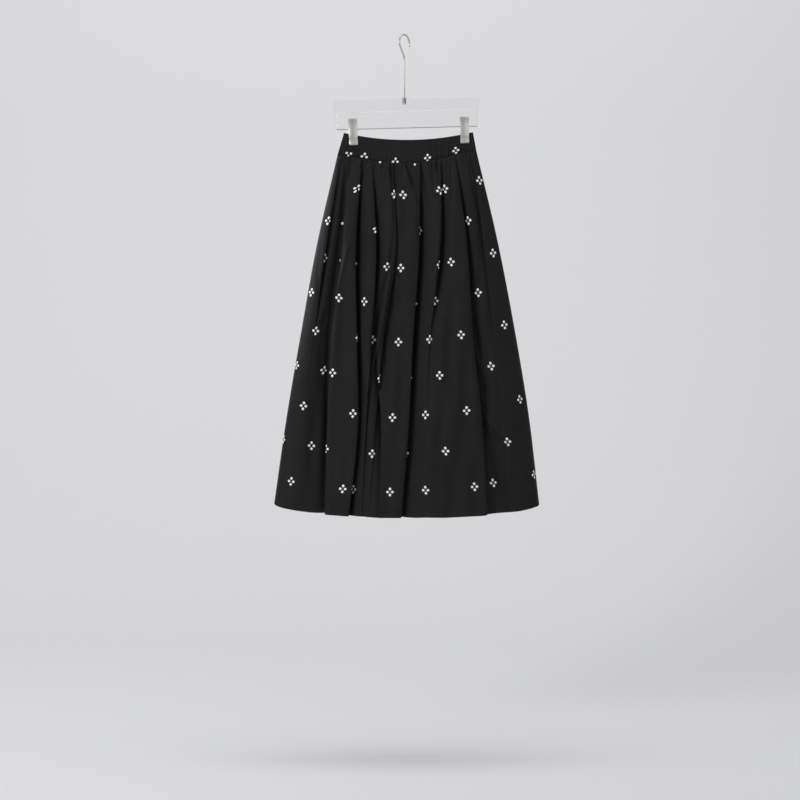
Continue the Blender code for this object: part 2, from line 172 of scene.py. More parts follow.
world = bpy.data.worlds.new("studio_air")
world.use_nodes = True
world.node_tree.nodes["Background"].inputs["Color"].default_value = linear("F7F8FA")
world.node_tree.nodes["Background"].inputs["Strength"].default_value = 0.475
bpy.context.scene.world = world


# ------------------------------------------------------------
# The skirt's two panels: rectangles of plain-woven cotton, gathered at the waist to a third of their width,
# sewn to each other at the sides and into the waistband, with a turned and stitched hem.
# ------------------------------------------------------------

# A level is 0 at the waist seam and 1 at the hem. At each level the cloth runs from one side seam to the
# other in a lens outline, and folds turn it inwards. Every point also has its place on the flat cloth,
# which the weave, the flowers and the stitches follow.
CUT_WIDTH = 0.970
CUT_LENGTH = 0.777
STATIONS = (0.0, 0.25, 0.5, 0.75, 1.0)
LEFT_EDGE = (-146.5, -191.0, -226.2, -259.3, -287.4)
RIGHT_EDGE = (157.7, 204.2, 242.5, 275.0, 298.4)
# Where the side seams lie across the front's flower repeat, mm: the cloth was cut a little off the
# straight.
FRONT_SEAMS = ((-36, -30, -24, -18, -12), (922, 936, 948, 940, 922))
BACK_SEAMS = ((-40, -32, -24, -14, -6), (936, 942, 946, 940, 930))
WAIST_HALF_DEPTH = 12 * MM
HEM_HALF_DEPTH = 81 * MM
DEPTH_POWER = 0.62
SIDE_ROUNDNESS = 3.0
SEAM_Z = (-260 * MM, -250 * MM)
SEAM_SAG = 22 * MM
SEAM_SAG_POWER = 1.6
HEM_Z = (-1024 * MM, -1026 * MM)
HEM_SAG = 22 * MM
HEM_SAG_POWER = 0.6
TROUGH_CLEARANCE = (6 * MM, 22 * MM)
SEAM_GAP = 0.3 * MM

# Folds, left to right. At the five stations, in mm: x of the lip's edge; depth of the pocket behind the
# lip; cloth that one wall of the pocket takes up on the flat; how far the cloth beside the lip lies behind
# it, and over what width it comes back to the front. Then: how flat the floor beside the lip is, as a
# power; 1 where the cloth to the right makes the lip, -1 where the cloth to the left does; the lip's rise
# and the droop of its edge, mm; and how far the cloth to the right stands in front at the hem, mm. The
# front's lips lie where the photo shows them. What its pockets take up was judged: flowers are 108
# mm apart on the flat cloth, so what isn't seen between two of them lies in the folds between. The results
# of an earlier search were known, so these values aren't independent of it.
FRONT_FOLDS = (
    ((-138, -170, -197, -227, -262), (1, 10, 0, 0, 0), (12, 24, 20, 20, 0),
     (1, 8, 2, 0, 0), (4, 14, 14, 10, 8), 1.6, -1, (0.5, 1), 0),
    ((-123, -137, -159, -169, -174), (2, 16, 18, 12, 5), (40, 56, 51, 40, 53),
     (2, 20, 27, 30, 24), (6, 14, 26, 40, 50), 1.9, 1, (1.5, 2.5), 3),
    ((-93, -105, -103, -101, -121), (2, 13, 11, 8, 9), (48, 30, 29, 45, 42),
     (2, 16, 18, 12, 17), (5, 16, 14, 10, 24), 1.7, -1, (1, 2), 2),
    ((-71, -61, -71, -84, -93), (1, 10, 7, 3, 0), (34, 6, 17, 15, 9),
     (1, 12, 8, 4, 2), (5, 14, 16, 8, 8), 1.6, -1, (0.5, 1.5), 0),
    ((-10, -27, -60, -51, -54), (1, 2, 7, 4, 0), (8, 6, 6, 8, 8),
     (1, 2, 11, 9, 5), (5, 6, 12, 22, 20), 1.5, 1, (1, 1.5), 0),
    ((-25, -19, -46, -64, -78), (3, 4, 6, 0, 0), (52, 38, 22, 4, 0),
     (3, 4, 11, 5, 1), (5, 18, 30, 22, 12), 1.5, -1, (1.5, 1.5), 0),
    ((34, 32, 19, 9, -7), (1, 9, 13, 11, 7), (0, 7, 20, 20, 14),
     (1, 19, 21, 18, 15), (6, 22, 30, 32, 32), 1.5, -1, (1, 2), 0),
    ((80, 78, 55, 46, 35), (2, 9, 0, 0, 0), (58, 48, 23, 9, 0),
     (1, 14, 5, 1, 0), (5, 24, 30, 22, 10), 1.5, -1, (1.5, 1.5), 0),
    ((99, 98, 93, 88, 83), (2, 0, 0, 0, 0), (15, 2, 0, 0, 0),
     (1, 0, 0, 0, 0), (5, 5, 5, 5, 5), 1.6, -1, (0, 0), 0),
    ((110, 137, 149, 169, 179), (1, 8, 6, 4, 0), (54, 55, 57, 42, 31),
     (1, 13, 19, 19, 15), (6, 16, 26, 32, 70), 1.7, -1, (1.5, 3), -4),
    ((147, 173, 195, 214, 227), (1, 2, 0, 0, 0), (5, 5, 3, 3, 0),
     (1, 6, 4, 2, 3), (5, 14, 14, 14, 30), 1.6, 1, (0.5, 1), 0),
)
BACK_FOLDS = (
    ((-124, -158, -182, -206, -222), (1, 10, 11, 9, 4), (30, 34, 30, 30, 26),
     (1, 9, 11, 10, 9), (5, 12, 18, 22, 28), 1.7, 1, (1, 1.5), 2),
    ((-98, -118, -128, -142, -150), (1, 16, 18, 14, 10), (40, 50, 52, 54, 50),
     (2, 14, 20, 24, 20), (5, 14, 24, 30, 40), 2.0, 1, (1.5, 2.5), 3),
    ((-60, -72, -76, -80, -76), (2, 12, 6, 2, 0), (40, 36, 26, 18, 14),
     (2, 10, 8, 4, 2), (5, 18, 16, 14, 12), 1.6, -1, (1, 1), 0),
    ((-28, -30, -24, -30, -34), (2, 14, 18, 18, 12), (40, 46, 48, 50, 46),
     (2, 12, 20, 20, 17), (5, 14, 22, 28, 36), 1.9, -1, (1.5, 2), -2),
    ((8, 6, 14, 12, 8), (2, 6, 0, 0, 0), (30, 20, 8, 4, 0),
     (1, 6, 3, 1, 0), (5, 14, 14, 10, 10), 1.6, 1, (0.5, 1), 0),
    ((40, 44, 50, 58, 64), (2, 13, 16, 12, 8), (40, 44, 46, 48, 44),
     (2, 12, 18, 19, 16), (5, 14, 20, 26, 34), 1.8, 1, (1.5, 2), 2),
    ((76, 84, 92, 104, 108), (1, 9, 4, 0, 0), (40, 30, 16, 12, 12),
     (2, 9, 6, 3, 2), (5, 16, 14, 14, 16), 1.6, -1, (1, 1), 0),
    ((108, 126, 148, 164, 176), (1, 16, 17, 14, 9), (40, 50, 52, 52, 46),
     (2, 14, 20, 22, 18), (5, 14, 24, 32, 46), 1.9, -1, (1.5, 2), -4),
    ((140, 172, 196, 216, 230), (1, 8, 4, 1, 0), (20, 24, 18, 16, 14),
     (1, 7, 6, 4, 3), (5, 12, 16, 18, 20), 1.7, -1, (0.5, 1), 0),
)
# Short gathers: x at the seam and x at the end, mm; the level where they end; depth, mm.
FRONT_GATHERS = (
    (-118, -122, 0.10, 3.0), (-80, -95, 0.07, 3.5), (-64, -56, 0.11, 3.0), (-31, -17, 0.20, 4.5),
    (-44, -40, 0.06, 2.0), (-18, -14, 0.05, 2.5), (2, 37, 0.13, 5.0), (22, 30, 0.05, 2.5),
    (35, 49, 0.14, 4.0), (59, 66, 0.10, 3.5), (69, 79, 0.08, 3.0), (94, 94, 0.09, 3.0),
    (108, 110, 0.06, 2.0), (134, 165, 0.18, 3.5), (146, 153, 0.06, 2.0),
)
BACK_GATHERS = (
    (-112, -126, 0.12, 3.5), (-84, -90, 0.08, 3.0), (-72, -66, 0.14, 3.0), (-46, -52, 0.07, 2.5),
    (-16, -12, 0.18, 4.0), (-4, -18, 0.06, 2.5), (18, 24, 0.10, 3.5), (30, 28, 0.05, 2.0),
    (54, 62, 0.15, 3.5), (66, 70, 0.06, 2.5), (90, 96, 0.12, 3.0), (120, 136, 0.16, 3.5),
    (132, 142, 0.07, 2.5),
)
# Creases: points (x, z) from end to end, mm; height, mm, negative for a trough; reach to the left and to
# the right of the way it runs, mm.
FRONT_CREASES = (
    (((81, -347), (74, -472), (64, -571), (57, -646)), 4.0, 3.5, 3.0),  # crest left of the seventh fold
    (((-23, -481), (-35, -549), (-51, -648), (-67, -719), (-86, -787)), 6.2, 7.0, 2.4),  # long crest
    (((-45, -690), (-40, -745), (-35, -795)), -3.2, 3.5, 3.0),
    (((-57, -520), (-42, -540), (-50, -562), (-58, -584)), -2.4, 5, 4),
    (((-59, -478), (-47, -494)), -2.2, 5, 4),
    (((-19, -498), (-12, -541)), -2.2, 4, 4),
    (((-8, -612), (-6, -650), (-3, -690)), -2.0, 6, 5),
    (((-115, -431), (-135, -510), (-161, -616)), 3.6, 5, 3),
    (((70, -602), (104, -643), (107, -657)), -3.0, 6, 4),
    (((98, -700), (106, -770), (96, -840)), -1.8, 10, 8),
    (((149, -613), (158, -660), (167, -703), (182, -721)), -7.0, 8, 9),
    (((165, -734), (176, -789)), -3.0, 6, 6),
    (((169, -829), (222, -884), (236, -896)), 7.0, 2.6, 16),  # slanting crest, lower right
    (((158, -838), (208, -892)), -5.0, 11, 3),
    (((181, -879), (203, -945), (221, -1009), (232, -1022)), -6.0, 9, 11),
    (((90, -926), (122, -1017)), -2.2, 9, 8),
    (((140, -560), (150, -640), (155, -684)), 2.0, 4, 3),
    (((-170, -598), (-180, -640)), -2.4, 5, 5),
    (((-83, -986), (-82, -1018), (-80, -1044)), -2.5, 3, 3),
    (((-178, -420), (-189, -520), (-186, -610)), -2.0, 6, 6),
    (((-98, -600), (-92, -690), (-88, -760)), 2.0, 4, 4),
    (((14, -372), (34, -420), (38, -452)), -2.4, 6, 6),
    (((-196, -820), (-204, -900), (-206, -980)), -1.8, 9, 9),
)
BACK_CREASES = (
    (((-96, -380), (-104, -470), (-112, -560)), 3.0, 3.5, 3.0),
    (((30, -400), (36, -500), (44, -600), (48, -690)), 3.0, 3.0, 4.0),
    (((-20, -520), (4, -590), (10, -640)), -2.0, 6, 5),
    (((128, -560), (96, -640), (84, -700)), -2.2, 5, 6),
    (((-210, -860), (-168, -900), (-150, -930)), 2.4, 3, 6),
    (((86, -860), (90, -950), (100, -1020)), -1.6, 9, 8),
    (((-64, -780), (-52, -880), (-50, -980)), -1.4, 9, 9),
    (((190, -700), (206, -800), (210, -900)), -1.8, 9, 9),
)
# Unevenness all over: how many waves, radians a metre across, most radians from waist to hem, height in mm.
SWELLS = ((12, (12, 52), 9, (0.2, 0.6)), (11, (60, 170), 16, (0.2, 0.62)),
          (9, (180, 330), 30, (0.06, 0.17)))
DENSE = 5200                   # points of a level's section, before it is cut into columns
PANEL_COLUMNS = 312
PANEL_ROWS = 148
MOUTH = (1.1 * MM, 1.7 * MM)   # half width of a fold's mouth, along the section, at the seam and the hem
LIP_TO_POCKET = 1.2            # from a lip's edge to the middle of its pocket, in mouth half widths
LIP_CORNER = 0.9               # sharpness of the lip's own corner, in mouth half widths
POCKET_SLOPE = 4.0             # reach of the slope from the floor into the pocket, in mouth half widths
STEP_SLOPE = 0.25              # steepness, per millimetre, of the step from one side of a fold to the other
LIP_CREST = (10 * MM, 8 * MM)  # how far behind its edge a lip is highest, and how wide that crest is
LIP_DROOP_REACH = 5 * MM
GATHER_WIDTH = 1.9             # half width of a short gather at the seam, mm, and how much wider it ends
GATHER_WIDENING = 3.0
GATHER_POWER = 2.2
GATHER_FULLNESS = 1.35         # a gather's depth, as a share of its row's value
GATHER_AT_SEAM = 0.6           # its share of that depth at the seam itself, and the level where it is full
GATHER_FULL_LEVEL = 0.015
LIP_FULL = (0.1, 8 * MM)       # level and pocket depth from which a lip has its full rise
SWELL_GROWTH = 5               # how fast, per level, the unevenness grows from nothing at the seam
SEAM_FULLNESS = (2.2, 0.06)    # cloth taken up by gathers too fine to draw, and how soon that fades
COLUMN_SHARES = (0.42, 0.3, 0.28)    # how columns are shared out: by true length, by width and by turning
TURN_SMOOTHING = 30            # points on either side over which the turning is evened out
OVERLAP = (0.42, 11 * MM)      # how far a pocket runs behind its lip: share of its depth, and at most
HEM_TURN = 9 * MM              # depth of the turned-up hem, and its stitch line's height
HEM_STEP = 0.45 * MM           # how far the turned-up hem stands out, and how deep its stitches draw it in
HEM_STEP_RUN = 1.6 * MM        # height over which it comes out, and half height of the stitches' groove
HEM_GROOVE = 1.1 * MM
HEM_STEP_FADE = 8 * MM         # distance from the middle plane within which that step fades to nothing
HEM_WAVER = (0.7 * MM, 61, 23)      # the hem's waver: height, and two closenesses, radians a metre
CLOTH_WALL = 0.5 * MM
HEM_WALL = 1.1 * MM


def along(values, level):
    """Smooth value at a level, through values at the five stations (Catmull-Rom)."""
    place = min(max(level / (STATIONS[1] - STATIONS[0]), 0.0), len(values) - 1.0)
    left = min(int(place), len(values) - 2)
    t = place - left
    p1, p2 = values[left], values[left + 1]
    p0 = values[left - 1] if left > 0 else 2 * p1 - p2
    p3 = values[left + 2] if left + 2 < len(values) else 2 * p2 - p1
    return p1 + 0.5 * t * (p2 - p0 + t * (2 * p0 - 5 * p1 + 4 * p2 - p3 + t * (3 * (p1 - p2) + p3 - p0)))


def mix(pair, share):
    return pair[0] + (pair[1] - pair[0]) * share


def seam_height(across):
    return mix(SEAM_Z, across) - SEAM_SAG * (4 * across * (1 - across)) ** SEAM_SAG_POWER


def hem_height(across):
    return mix(HEM_Z, across) - HEM_SAG * (4 * across * (1 - across)) ** HEM_SAG_POWER


def sides(level):
    """x of the left and right side seam at a level."""
    return along(LEFT_EDGE, level) * MM, along(RIGHT_EDGE, level) * MM


def fine_gathers(count, seed):
    """Small uneven gathers that fill the waist seam between the placed ones."""
    rng = np.random.RandomState(seed)
    rows = []
    for number in range(count):
        x = mix((LEFT_EDGE[0] + 8, RIGHT_EDGE[0] - 8), (number + 0.5 + rng.uniform(-0.3, 0.3)) / count)
        rows.append((x, x * 1.06, rng.uniform(0.03, 0.11), rng.uniform(1.2, 2.5)))
    return tuple(rows)


def swells(x, level, seed):
    """Wide shallow unevenness, as of cloth that was folded away and has hung for a day."""
    rng = np.random.RandomState(seed)
    total = 0
    for count, closeness, slant, heights in SWELLS:
        for _ in range(count):
            across, down = rng.uniform(*closeness), rng.uniform(-slant, slant)
            phase, height = rng.uniform(0, 2 * math.pi), rng.uniform(*heights) * MM
            total = total + height * np.sin(across * x + down * level + phase)
    return total


def section(table, small, seams, level, seed):
    """One level of a panel, dense: x, distance from the middle plane, z, flat place, column share."""
    left, right = sides(level)
    across = 0.5 - 0.5 * np.cos(np.linspace(0, math.pi, DENSE))
    x = left + (right - left) * across
    half_depth = WAIST_HALF_DEPTH + (HEM_HALF_DEPTH - WAIST_HALF_DEPTH) * level ** DEPTH_POWER
    lens = np.maximum(1 - np.abs(2 * across - 1) ** SIDE_ROUNDNESS, 0) ** 0.5
    floor = mix(TROUGH_CLEARANCE, level)
    distance = half_depth * lens
    limit = np.maximum(distance - floor, 0)
    flat = distance.copy()
    shift = np.zeros(DENSE)
    mouth = mix(MOUTH, level)
    for edges, pockets, hidden, behind, widths, flatness, hand, (rise, droop), step in table:
        pocket, open_depth, width = [max(along(row, level), 0.0) * MM for row in (pockets, behind, widths)]
        mouth_centre = along(edges, level) * MM - hand * LIP_TO_POCKET * mouth
        q = hand * (x - mouth_centre)
        distance += step * MM * level * lens / (1 + np.exp(-np.clip(STEP_SLOPE * hand * q / MM, -40, 40)))
        beside = np.where(q < 0, np.exp(-(np.abs(q) / (width + MM)) ** flatness),
                          np.exp(-(np.abs(q) / (LIP_CORNER * mouth)) ** 4))
        within = np.where(q < 0, np.exp(-(q / (POCKET_SLOPE * mouth)) ** 2), np.exp(-(q / mouth) ** 4))
        distance -= np.minimum(open_depth * beside + pocket * within, limit)
        crest = rise * np.exp(-((q - LIP_CREST[0]) / LIP_CREST[1]) ** 2)
        lip = np.where(q > 0, crest - droop * np.exp(-(q / LIP_DROOP_REACH) ** 2), 0)
        distance += lip * MM * min(level / LIP_FULL[0], 1.0) * min(pocket / LIP_FULL[1], 1.0)
        shift += hand * min(OVERLAP[0] * pocket, OVERLAP[1]) * within
        flat -= max(along(hidden, level), 0.0) * MM * np.exp(-np.abs(q / mouth) ** 3)
    for x_seam, x_end, end, depth in small:
        if level >= end:
            continue
        run = level / end
        centre = mix((x_seam, x_end), run) * MM
        width = (GATHER_WIDTH + GATHER_WIDENING * run) * MM
        fade = (1 - run ** 2) * mix((GATHER_AT_SEAM, 1), min(level / GATHER_FULL_LEVEL, 1.0))
        valley = np.exp(-np.abs((x - centre) / width) ** GATHER_POWER)
        distance -= GATHER_FULLNESS * depth * MM * fade * valley * lens
    distance += swells(x, level, seed) * min(level * SWELL_GROWTH, 1.0) * lens
    distance = np.maximum(distance, np.minimum(floor, half_depth * lens))
    distance = np.maximum(distance, SEAM_GAP / 2)
    z = (1 - level) * (seam_height(across) - SEAM_GAP / 2) + level * hem_height(across)
    steps = np.hypot(np.diff(x), np.diff(flat))
    steps = steps + SEAM_FULLNESS[0] * math.exp(-level / SEAM_FULLNESS[1]) * np.diff(x)
    cloth = np.concatenate([[0], np.cumsum(steps)])
    cloth /= cloth[-1]
    first, last = along(seams[0], level) * MM, along(seams[1], level) * MM
    x = x + shift
    true = np.concatenate([[0], np.cumsum(np.hypot(np.diff(x), np.diff(distance)))])
    heading = np.unwrap(np.arctan2(np.diff(distance), np.diff(x)))
    turning = np.concatenate([[0, 0], np.cumsum(np.abs(np.diff(heading)))])
    window = 2 * TURN_SMOOTHING + 1
    padded = np.pad(turning, TURN_SMOOTHING, mode="edge")
    turning = np.convolve(padded, np.ones(window) / window, mode="valid")
    turning = (turning - turning[0]) / (turning[-1] - turning[0])
    by_length, by_width, by_turning = COLUMN_SHARES
    columns = by_length * true / true[-1] + by_width * across + by_turning * turning
    return x, distance, z, first + (last - first) * cloth, columns


def press_creases(grid, side, creases):
    """Moves a panel's points out or in along each crease, fading to its ends."""
    x, z = grid[:, :, 0] / MM, grid[:, :, 2] / MM
    for points, height, reach_left, reach_right in creases:
        points = np.array(points, float)
        lengths = np.hypot(*np.diff(points, axis=0).T)
        total = lengths.sum()
        best = np.full(x.shape, 1e9)
        across = np.zeros(x.shape)
        run = np.zeros(x.shape)
        before = 0.0
        for start, end, length in zip(points, points[1:], lengths):
            way = (end - start) / length
            share = (x - start[0]) * way[0] + (z - start[1]) * way[1]
            inside = np.clip(share, 0, length)
            near_x, near_z = start[0] + way[0] * inside, start[1] + way[1] * inside
            far = np.hypot(x - near_x, z - near_z)
            closer = far < best
            hand = (x - start[0]) * way[1] - (z - start[1]) * way[0]
            across = np.where(closer, np.where(hand > 0, -1, 1) * far, across)
            run = np.where(closer, (before + inside) / total, run)
            best = np.minimum(best, far)
            before += length
        profile = np.exp(-(across / np.where(across < 0, reach_left, reach_right)) ** 2)
        fade = np.sin(math.pi * np.clip(run, 0, 1)) ** 0.7
        grid[:, :, 1] += side * height * MM * profile * fade


def panel_levels():
    """Levels of a panel's rows: even, but closer at the waist seam and round the hem's stitch line."""
    near_seam = [0.0, 0.002, 0.005, 0.009, 0.014]
    hem = [1 - height * MM / CUT_LENGTH for height in (14, 11.2, 9.9, 9.0, 8.1, 6, 3, 1, 0)]
    even = list(np.linspace(0.0195, 1 - 17.5 * MM / CUT_LENGTH, PANEL_ROWS - len(near_seam) - len(hem)))
    return np.array(near_seam + even + hem)


def panel_grid(table, side, small, creases, seams, seed):
    """A panel's points, and each one's place on the flat cloth, across and down from the waist seam."""
    levels = panel_levels()
    shares = np.linspace(0, 1, PANEL_COLUMNS + 1)
    grid = np.zeros((len(levels), len(shares), 3))
    flat = np.zeros((len(levels), len(shares)))
    for row, level in enumerate(levels):
        x, distance, z, cloth, columns = section(table, small, seams, level, seed)
        height = (1 - level) * CUT_LENGTH
        lens_share = np.minimum(distance / HEM_STEP_FADE, 1)
        turned = HEM_STEP * min(max(0.5 + (HEM_TURN - height) / HEM_STEP_RUN, 0.0), 1.0)
        groove = HEM_STEP * math.exp(-((height - HEM_TURN) / HEM_GROOVE) ** 2)
        distance = distance + (turned - groove) * lens_share
        waver, close, wide = HEM_WAVER
        z = z + waver * level ** 8 * np.sin(x * close + seed) * np.sin(x * wide)
        for axis, values in ((0, x), (1, side * distance), (2, z)):
            grid[row, :, axis] = np.interp(shares, columns, values)
        flat[row] = np.interp(shares, columns, cloth)
    press_creases(grid, side, creases)
    grid[:, :, 1] = side * np.maximum(side * grid[:, :, 1], SEAM_GAP / 2)
    return grid, flat, levels * CUT_LENGTH


def mesh_object(name, vertices, faces):
    """A new object in the scene, with a mesh of these points and faces."""
    mesh = bpy.data.meshes.new(name)
    mesh.from_pydata(vertices, [], faces)
    return put_in_scene(name, mesh)


def map_places(mesh, name, places):
    """A UV map that holds each point's flat place, in metres."""
    uv = mesh.uv_layers.new(name=name)
    loop_vertices = np.zeros(len(mesh.loops), dtype=np.int32)
    mesh.loops.foreach_get("vertex_index", loop_vertices)
    uv.data.foreach_set("uv", places[loop_vertices].astype(np.float32).ravel())


def sheet_object(name, grid, flat, down, side):
    """A sheet mesh from a grid of points, with the place on the flat cloth as its UV map, in metres."""
    rows, columns = grid.shape[:2]
    index = np.arange(rows * columns).reshape(rows, columns)
    quads = np.stack([index[:-1, :-1], index[1:, :-1], index[1:, 1:], index[:-1, 1:]], axis=-1)
    quads = quads.reshape(-1, 4)
    if side > 0:
        quads = quads[:, ::-1]
    made = mesh_object(name, grid.reshape(-1, 3).tolist(), quads.tolist())
    places = np.stack([flat, np.broadcast_to(-down[:, None], flat.shape)], axis=-1).reshape(-1, 2)
    map_places(made.data, "cloth", places)
    return made


def make_active(obj):
    deselect()
    bpy.context.view_layer.objects.active = obj
    obj.select_set(True)


def apply_modifiers(obj):
    make_active(obj)
    for modifier in list(obj.modifiers):
        bpy.ops.object.modifier_apply(modifier=modifier.name)


def thicken(obj, down, columns):
    """Gives a panel its thickness, inwards, twice as much where the hem is turned up."""
    turned = obj.vertex_groups.new(name="turned_hem")
    rows = [row for row, place in enumerate(down) if place > CUT_LENGTH - HEM_TURN]
    turned.add([row * columns + column for row in rows for column in range(columns)], 1.0, "REPLACE")
    solid = obj.modifiers.new("thickness", "SOLIDIFY")
    solid.thickness = HEM_WALL
    solid.offset = -1.0
    solid.vertex_group = turned.name
    solid.thickness_vertex_group = CLOTH_WALL / HEM_WALL
    apply_modifiers(obj)
    obj.data.shade_smooth()


def two_tone(tree, dark, light, factor):
    """A colour between two hex colours, by a node's output."""
    colours = {"A": linear(dark), "B": linear(light)}
    return add_node(tree, "ShaderNodeMix", {"data_type": "RGBA"}, colours, {"Factor": factor})


def bump(tree, strength, distance, **links):
    return add_node(tree, "ShaderNodeBump", {}, {"Strength": strength, "Distance": distance}, links)


def bands_texture(tree, way, scale, distortion, detail, detail_scale, place):
    """Fine parallel bands, as of threads, across a way of a flat map."""
    values = {"Scale": scale, "Distortion": distortion, "Detail": detail, "Detail Scale": detail_scale}
    return add_node(tree, "ShaderNodeTexWave", {"wave_type": "BANDS", "bands_direction": way}, values,
                    {"Vector": place}).outputs["Fac"]


# Cotton poplin, reactive-dyed black: a tight plain weave that drinks light, with a faint bloom at grazing
# angles. Real threads are 0.25 mm apart, too fine to show, so the weave is drawn 0.9 mm apart.
THREAD_PITCH = 0.9 * MM
WAVE_SCALE = 2 * math.pi / 20             # the bands' scale that draws them 1 m apart
cotton, tree, shader = new_material("black_cotton_poplin", Roughness=0.8, Specular_IOR_Level=0.22,
                                    Sheen_Weight=0.035, Sheen_Roughness=0.35, Sheen_Tint=linear("C8CBD0"))
cloth_map = add_node(tree, "ShaderNodeUVMap", {"uv_map": "cloth"}).outputs["UV"]
fading = add_node(tree, "ShaderNodeTexNoise", {"noise_dimensions": "2D"},
                  {"Scale": 14.0, "Detail": 4.0, "Roughness": 0.6}, {"Vector": cloth_map})
dye = two_tone(tree, "121213", "1A1A1B", fading.outputs["Fac"])
tree.links.new(dye.outputs["Result"], shader.inputs["Base Color"])
weave_ways = [bands_texture(tree, way, WAVE_SCALE / THREAD_PITCH, 0.6, 1.0, 0.5, cloth_map) for way in "XY"]
weave = add_node(tree, "ShaderNodeMath", {"operation": "MULTIPLY"})
tree.links.new(weave_ways[0], weave.inputs[0])
tree.links.new(weave_ways[1], weave.inputs[1])
crumple = add_node(tree, "ShaderNodeTexNoise", {"noise_dimensions": "2D"},
                   {"Scale": 60.0, "Detail": 3.0, "Roughness": 0.55}, {"Vector": cloth_map})
crumple_bump = bump(tree, 0.35, 1.2 * MM, Height=crumple.outputs["Fac"])
weave_bump = bump(tree, 0.25, 0.12 * MM, Height=weave.outputs["Value"],
                  Normal=crumple_bump.outputs["Normal"])
tree.links.new(weave_bump.outputs["Normal"], shader.inputs["Normal"])

panels = {}
for word, side, table, small, creases, seams, seed in (
        ("front", -1, FRONT_FOLDS, FRONT_GATHERS + fine_gathers(20, 3), FRONT_CREASES, FRONT_SEAMS, 11),
        ("back", 1, BACK_FOLDS, BACK_GATHERS + fine_gathers(22, 8), BACK_CREASES, BACK_SEAMS, 23)):
    grid, flat, down = panel_grid(table, side, small, creases, seams, seed)
    panels[word] = (grid, flat, down, side)
    panel = sheet_object("skirt_" + word + "_cloth", grid, flat, down, side)
    thicken(panel, down, grid.shape[1])
    panel.data.materials.append(cotton)
    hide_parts("skirt_" + word)
    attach(panel, "root")


# ------------------------------------------------------------
# The waistband: the top of the cloth folded over a flat elastic and stitched in two rows, 7 and 22 mm under
# the top edge. At rest the elastic draws it up into fine upright puckers. The clips press it flat near its
# two ends.
# ------------------------------------------------------------
BAND_TOP_X = (-131.8, 149.9)
BAND_TOP_Z = (-211 * MM, -209 * MM)
BAND_TOP_SAG = 16.5 * MM
BAND_FACE = 4.5 * MM
BAND_BOW = 6.5 * MM
BAND_ROUNDNESS = 10.0
BAND_WALL = 2.6 * MM
BAND_END = 1.2 * MM                       # thickness left at the side seams
BAND_BOW_SPAN = (0.13, 0.74)              # where the bow starts, and how wide it is, as shares of the width
BAND_LAST_OUTER = 0.975                   # height of the outer face's last row, as a share of the band's
BAND_COLUMNS = 300
BAND_STITCHES = (7 * MM, 22 * MM)         # rows of stitches, below the top edge
CLIP_X = (-113 * MM, 131.2 * MM)
CLIP_PRESS = (0.85, 13 * MM, 0.3)         # how much a clip flattens the band, how far, from what height
BAND_END_CLOSENESS = 0.35                 # how far the columns close up towards the side seams
PUCKERS = 26
PUCKER_HEIGHTS = (0.4, 1.0)
PUCKER_CLOSENESS = (420, 1500)            # radians a metre
PUCKER_SCALE = 4.2                        # brings the sum of all puckers to about -1 to 1
PUCKER_SWELL = (0.95, 0.12, 0.28)         # extra strength of puckers over the seam, its height and spread
PUCKER_LEAST = 0.42                       # their strength everywhere, and how much more at the top
PUCKER_AT_TOP = 0.1
PUCKER_DEPTH = 0.55                       # depths of puckers, stitch grooves and the seam's groove, mm
STITCH_DEPTH = 0.75
SEAM_DEPTH = 1.1
STITCH_GROOVE = 1.3 * MM                  # half height of a stitch groove
SEAM_GROOVE = 0.05                        # height of the seam's groove, as a share of the band's
BAND_SET_BACK = 0.35 * MM                 # how far the face is set back to leave room for its puckers
BOW_LOSS = 0.4                            # share of the bow that is gone at the top edge


def face_outwards(close_ends=False):
    """Turns all faces outwards, in edit mode, after closing the open ends if asked."""
    bpy.ops.mesh.select_all(action="SELECT")
    if close_ends:
        bpy.ops.mesh.fill_holes(sides=0)
    bpy.ops.mesh.normals_make_consistent(inside=False)


def band_pucker(x, seed):
    """Fine uneven upright puckers across the band, from about -1 to 1."""
    rng = np.random.RandomState(seed)
    total = 0
    for _ in range(PUCKERS):
        height = rng.uniform(*PUCKER_HEIGHTS)
        total = total + height * np.sin(rng.uniform(*PUCKER_CLOSENESS) * x + rng.uniform(0, 6.28))
    return total / PUCKER_SCALE


def band_top_height(across):
    return mix(BAND_TOP_Z, across) - BAND_TOP_SAG * 4 * across * (1 - across)


def band_loop():
    """The band's section as (share of the height from seam to top, layer from outer 0 to inner 1)."""
    outer = [0, 0.03, 0.08, 0.15, 0.24, 0.34, 0.43, 0.5, 0.54, 0.57, 0.6, 0.66, 0.73, 0.79, 0.83, 0.86,
             0.89, 0.94, BAND_LAST_OUTER]
    inner = [BAND_LAST_OUTER, 0.88, 0.7, 0.5, 0.25, 0.05, 0]
    return [(h, 0.0) for h in outer] + [(0.993, 0.2), (1.0, 0.5), (0.993, 0.8)] + [(h, 1.0) for h in inner]


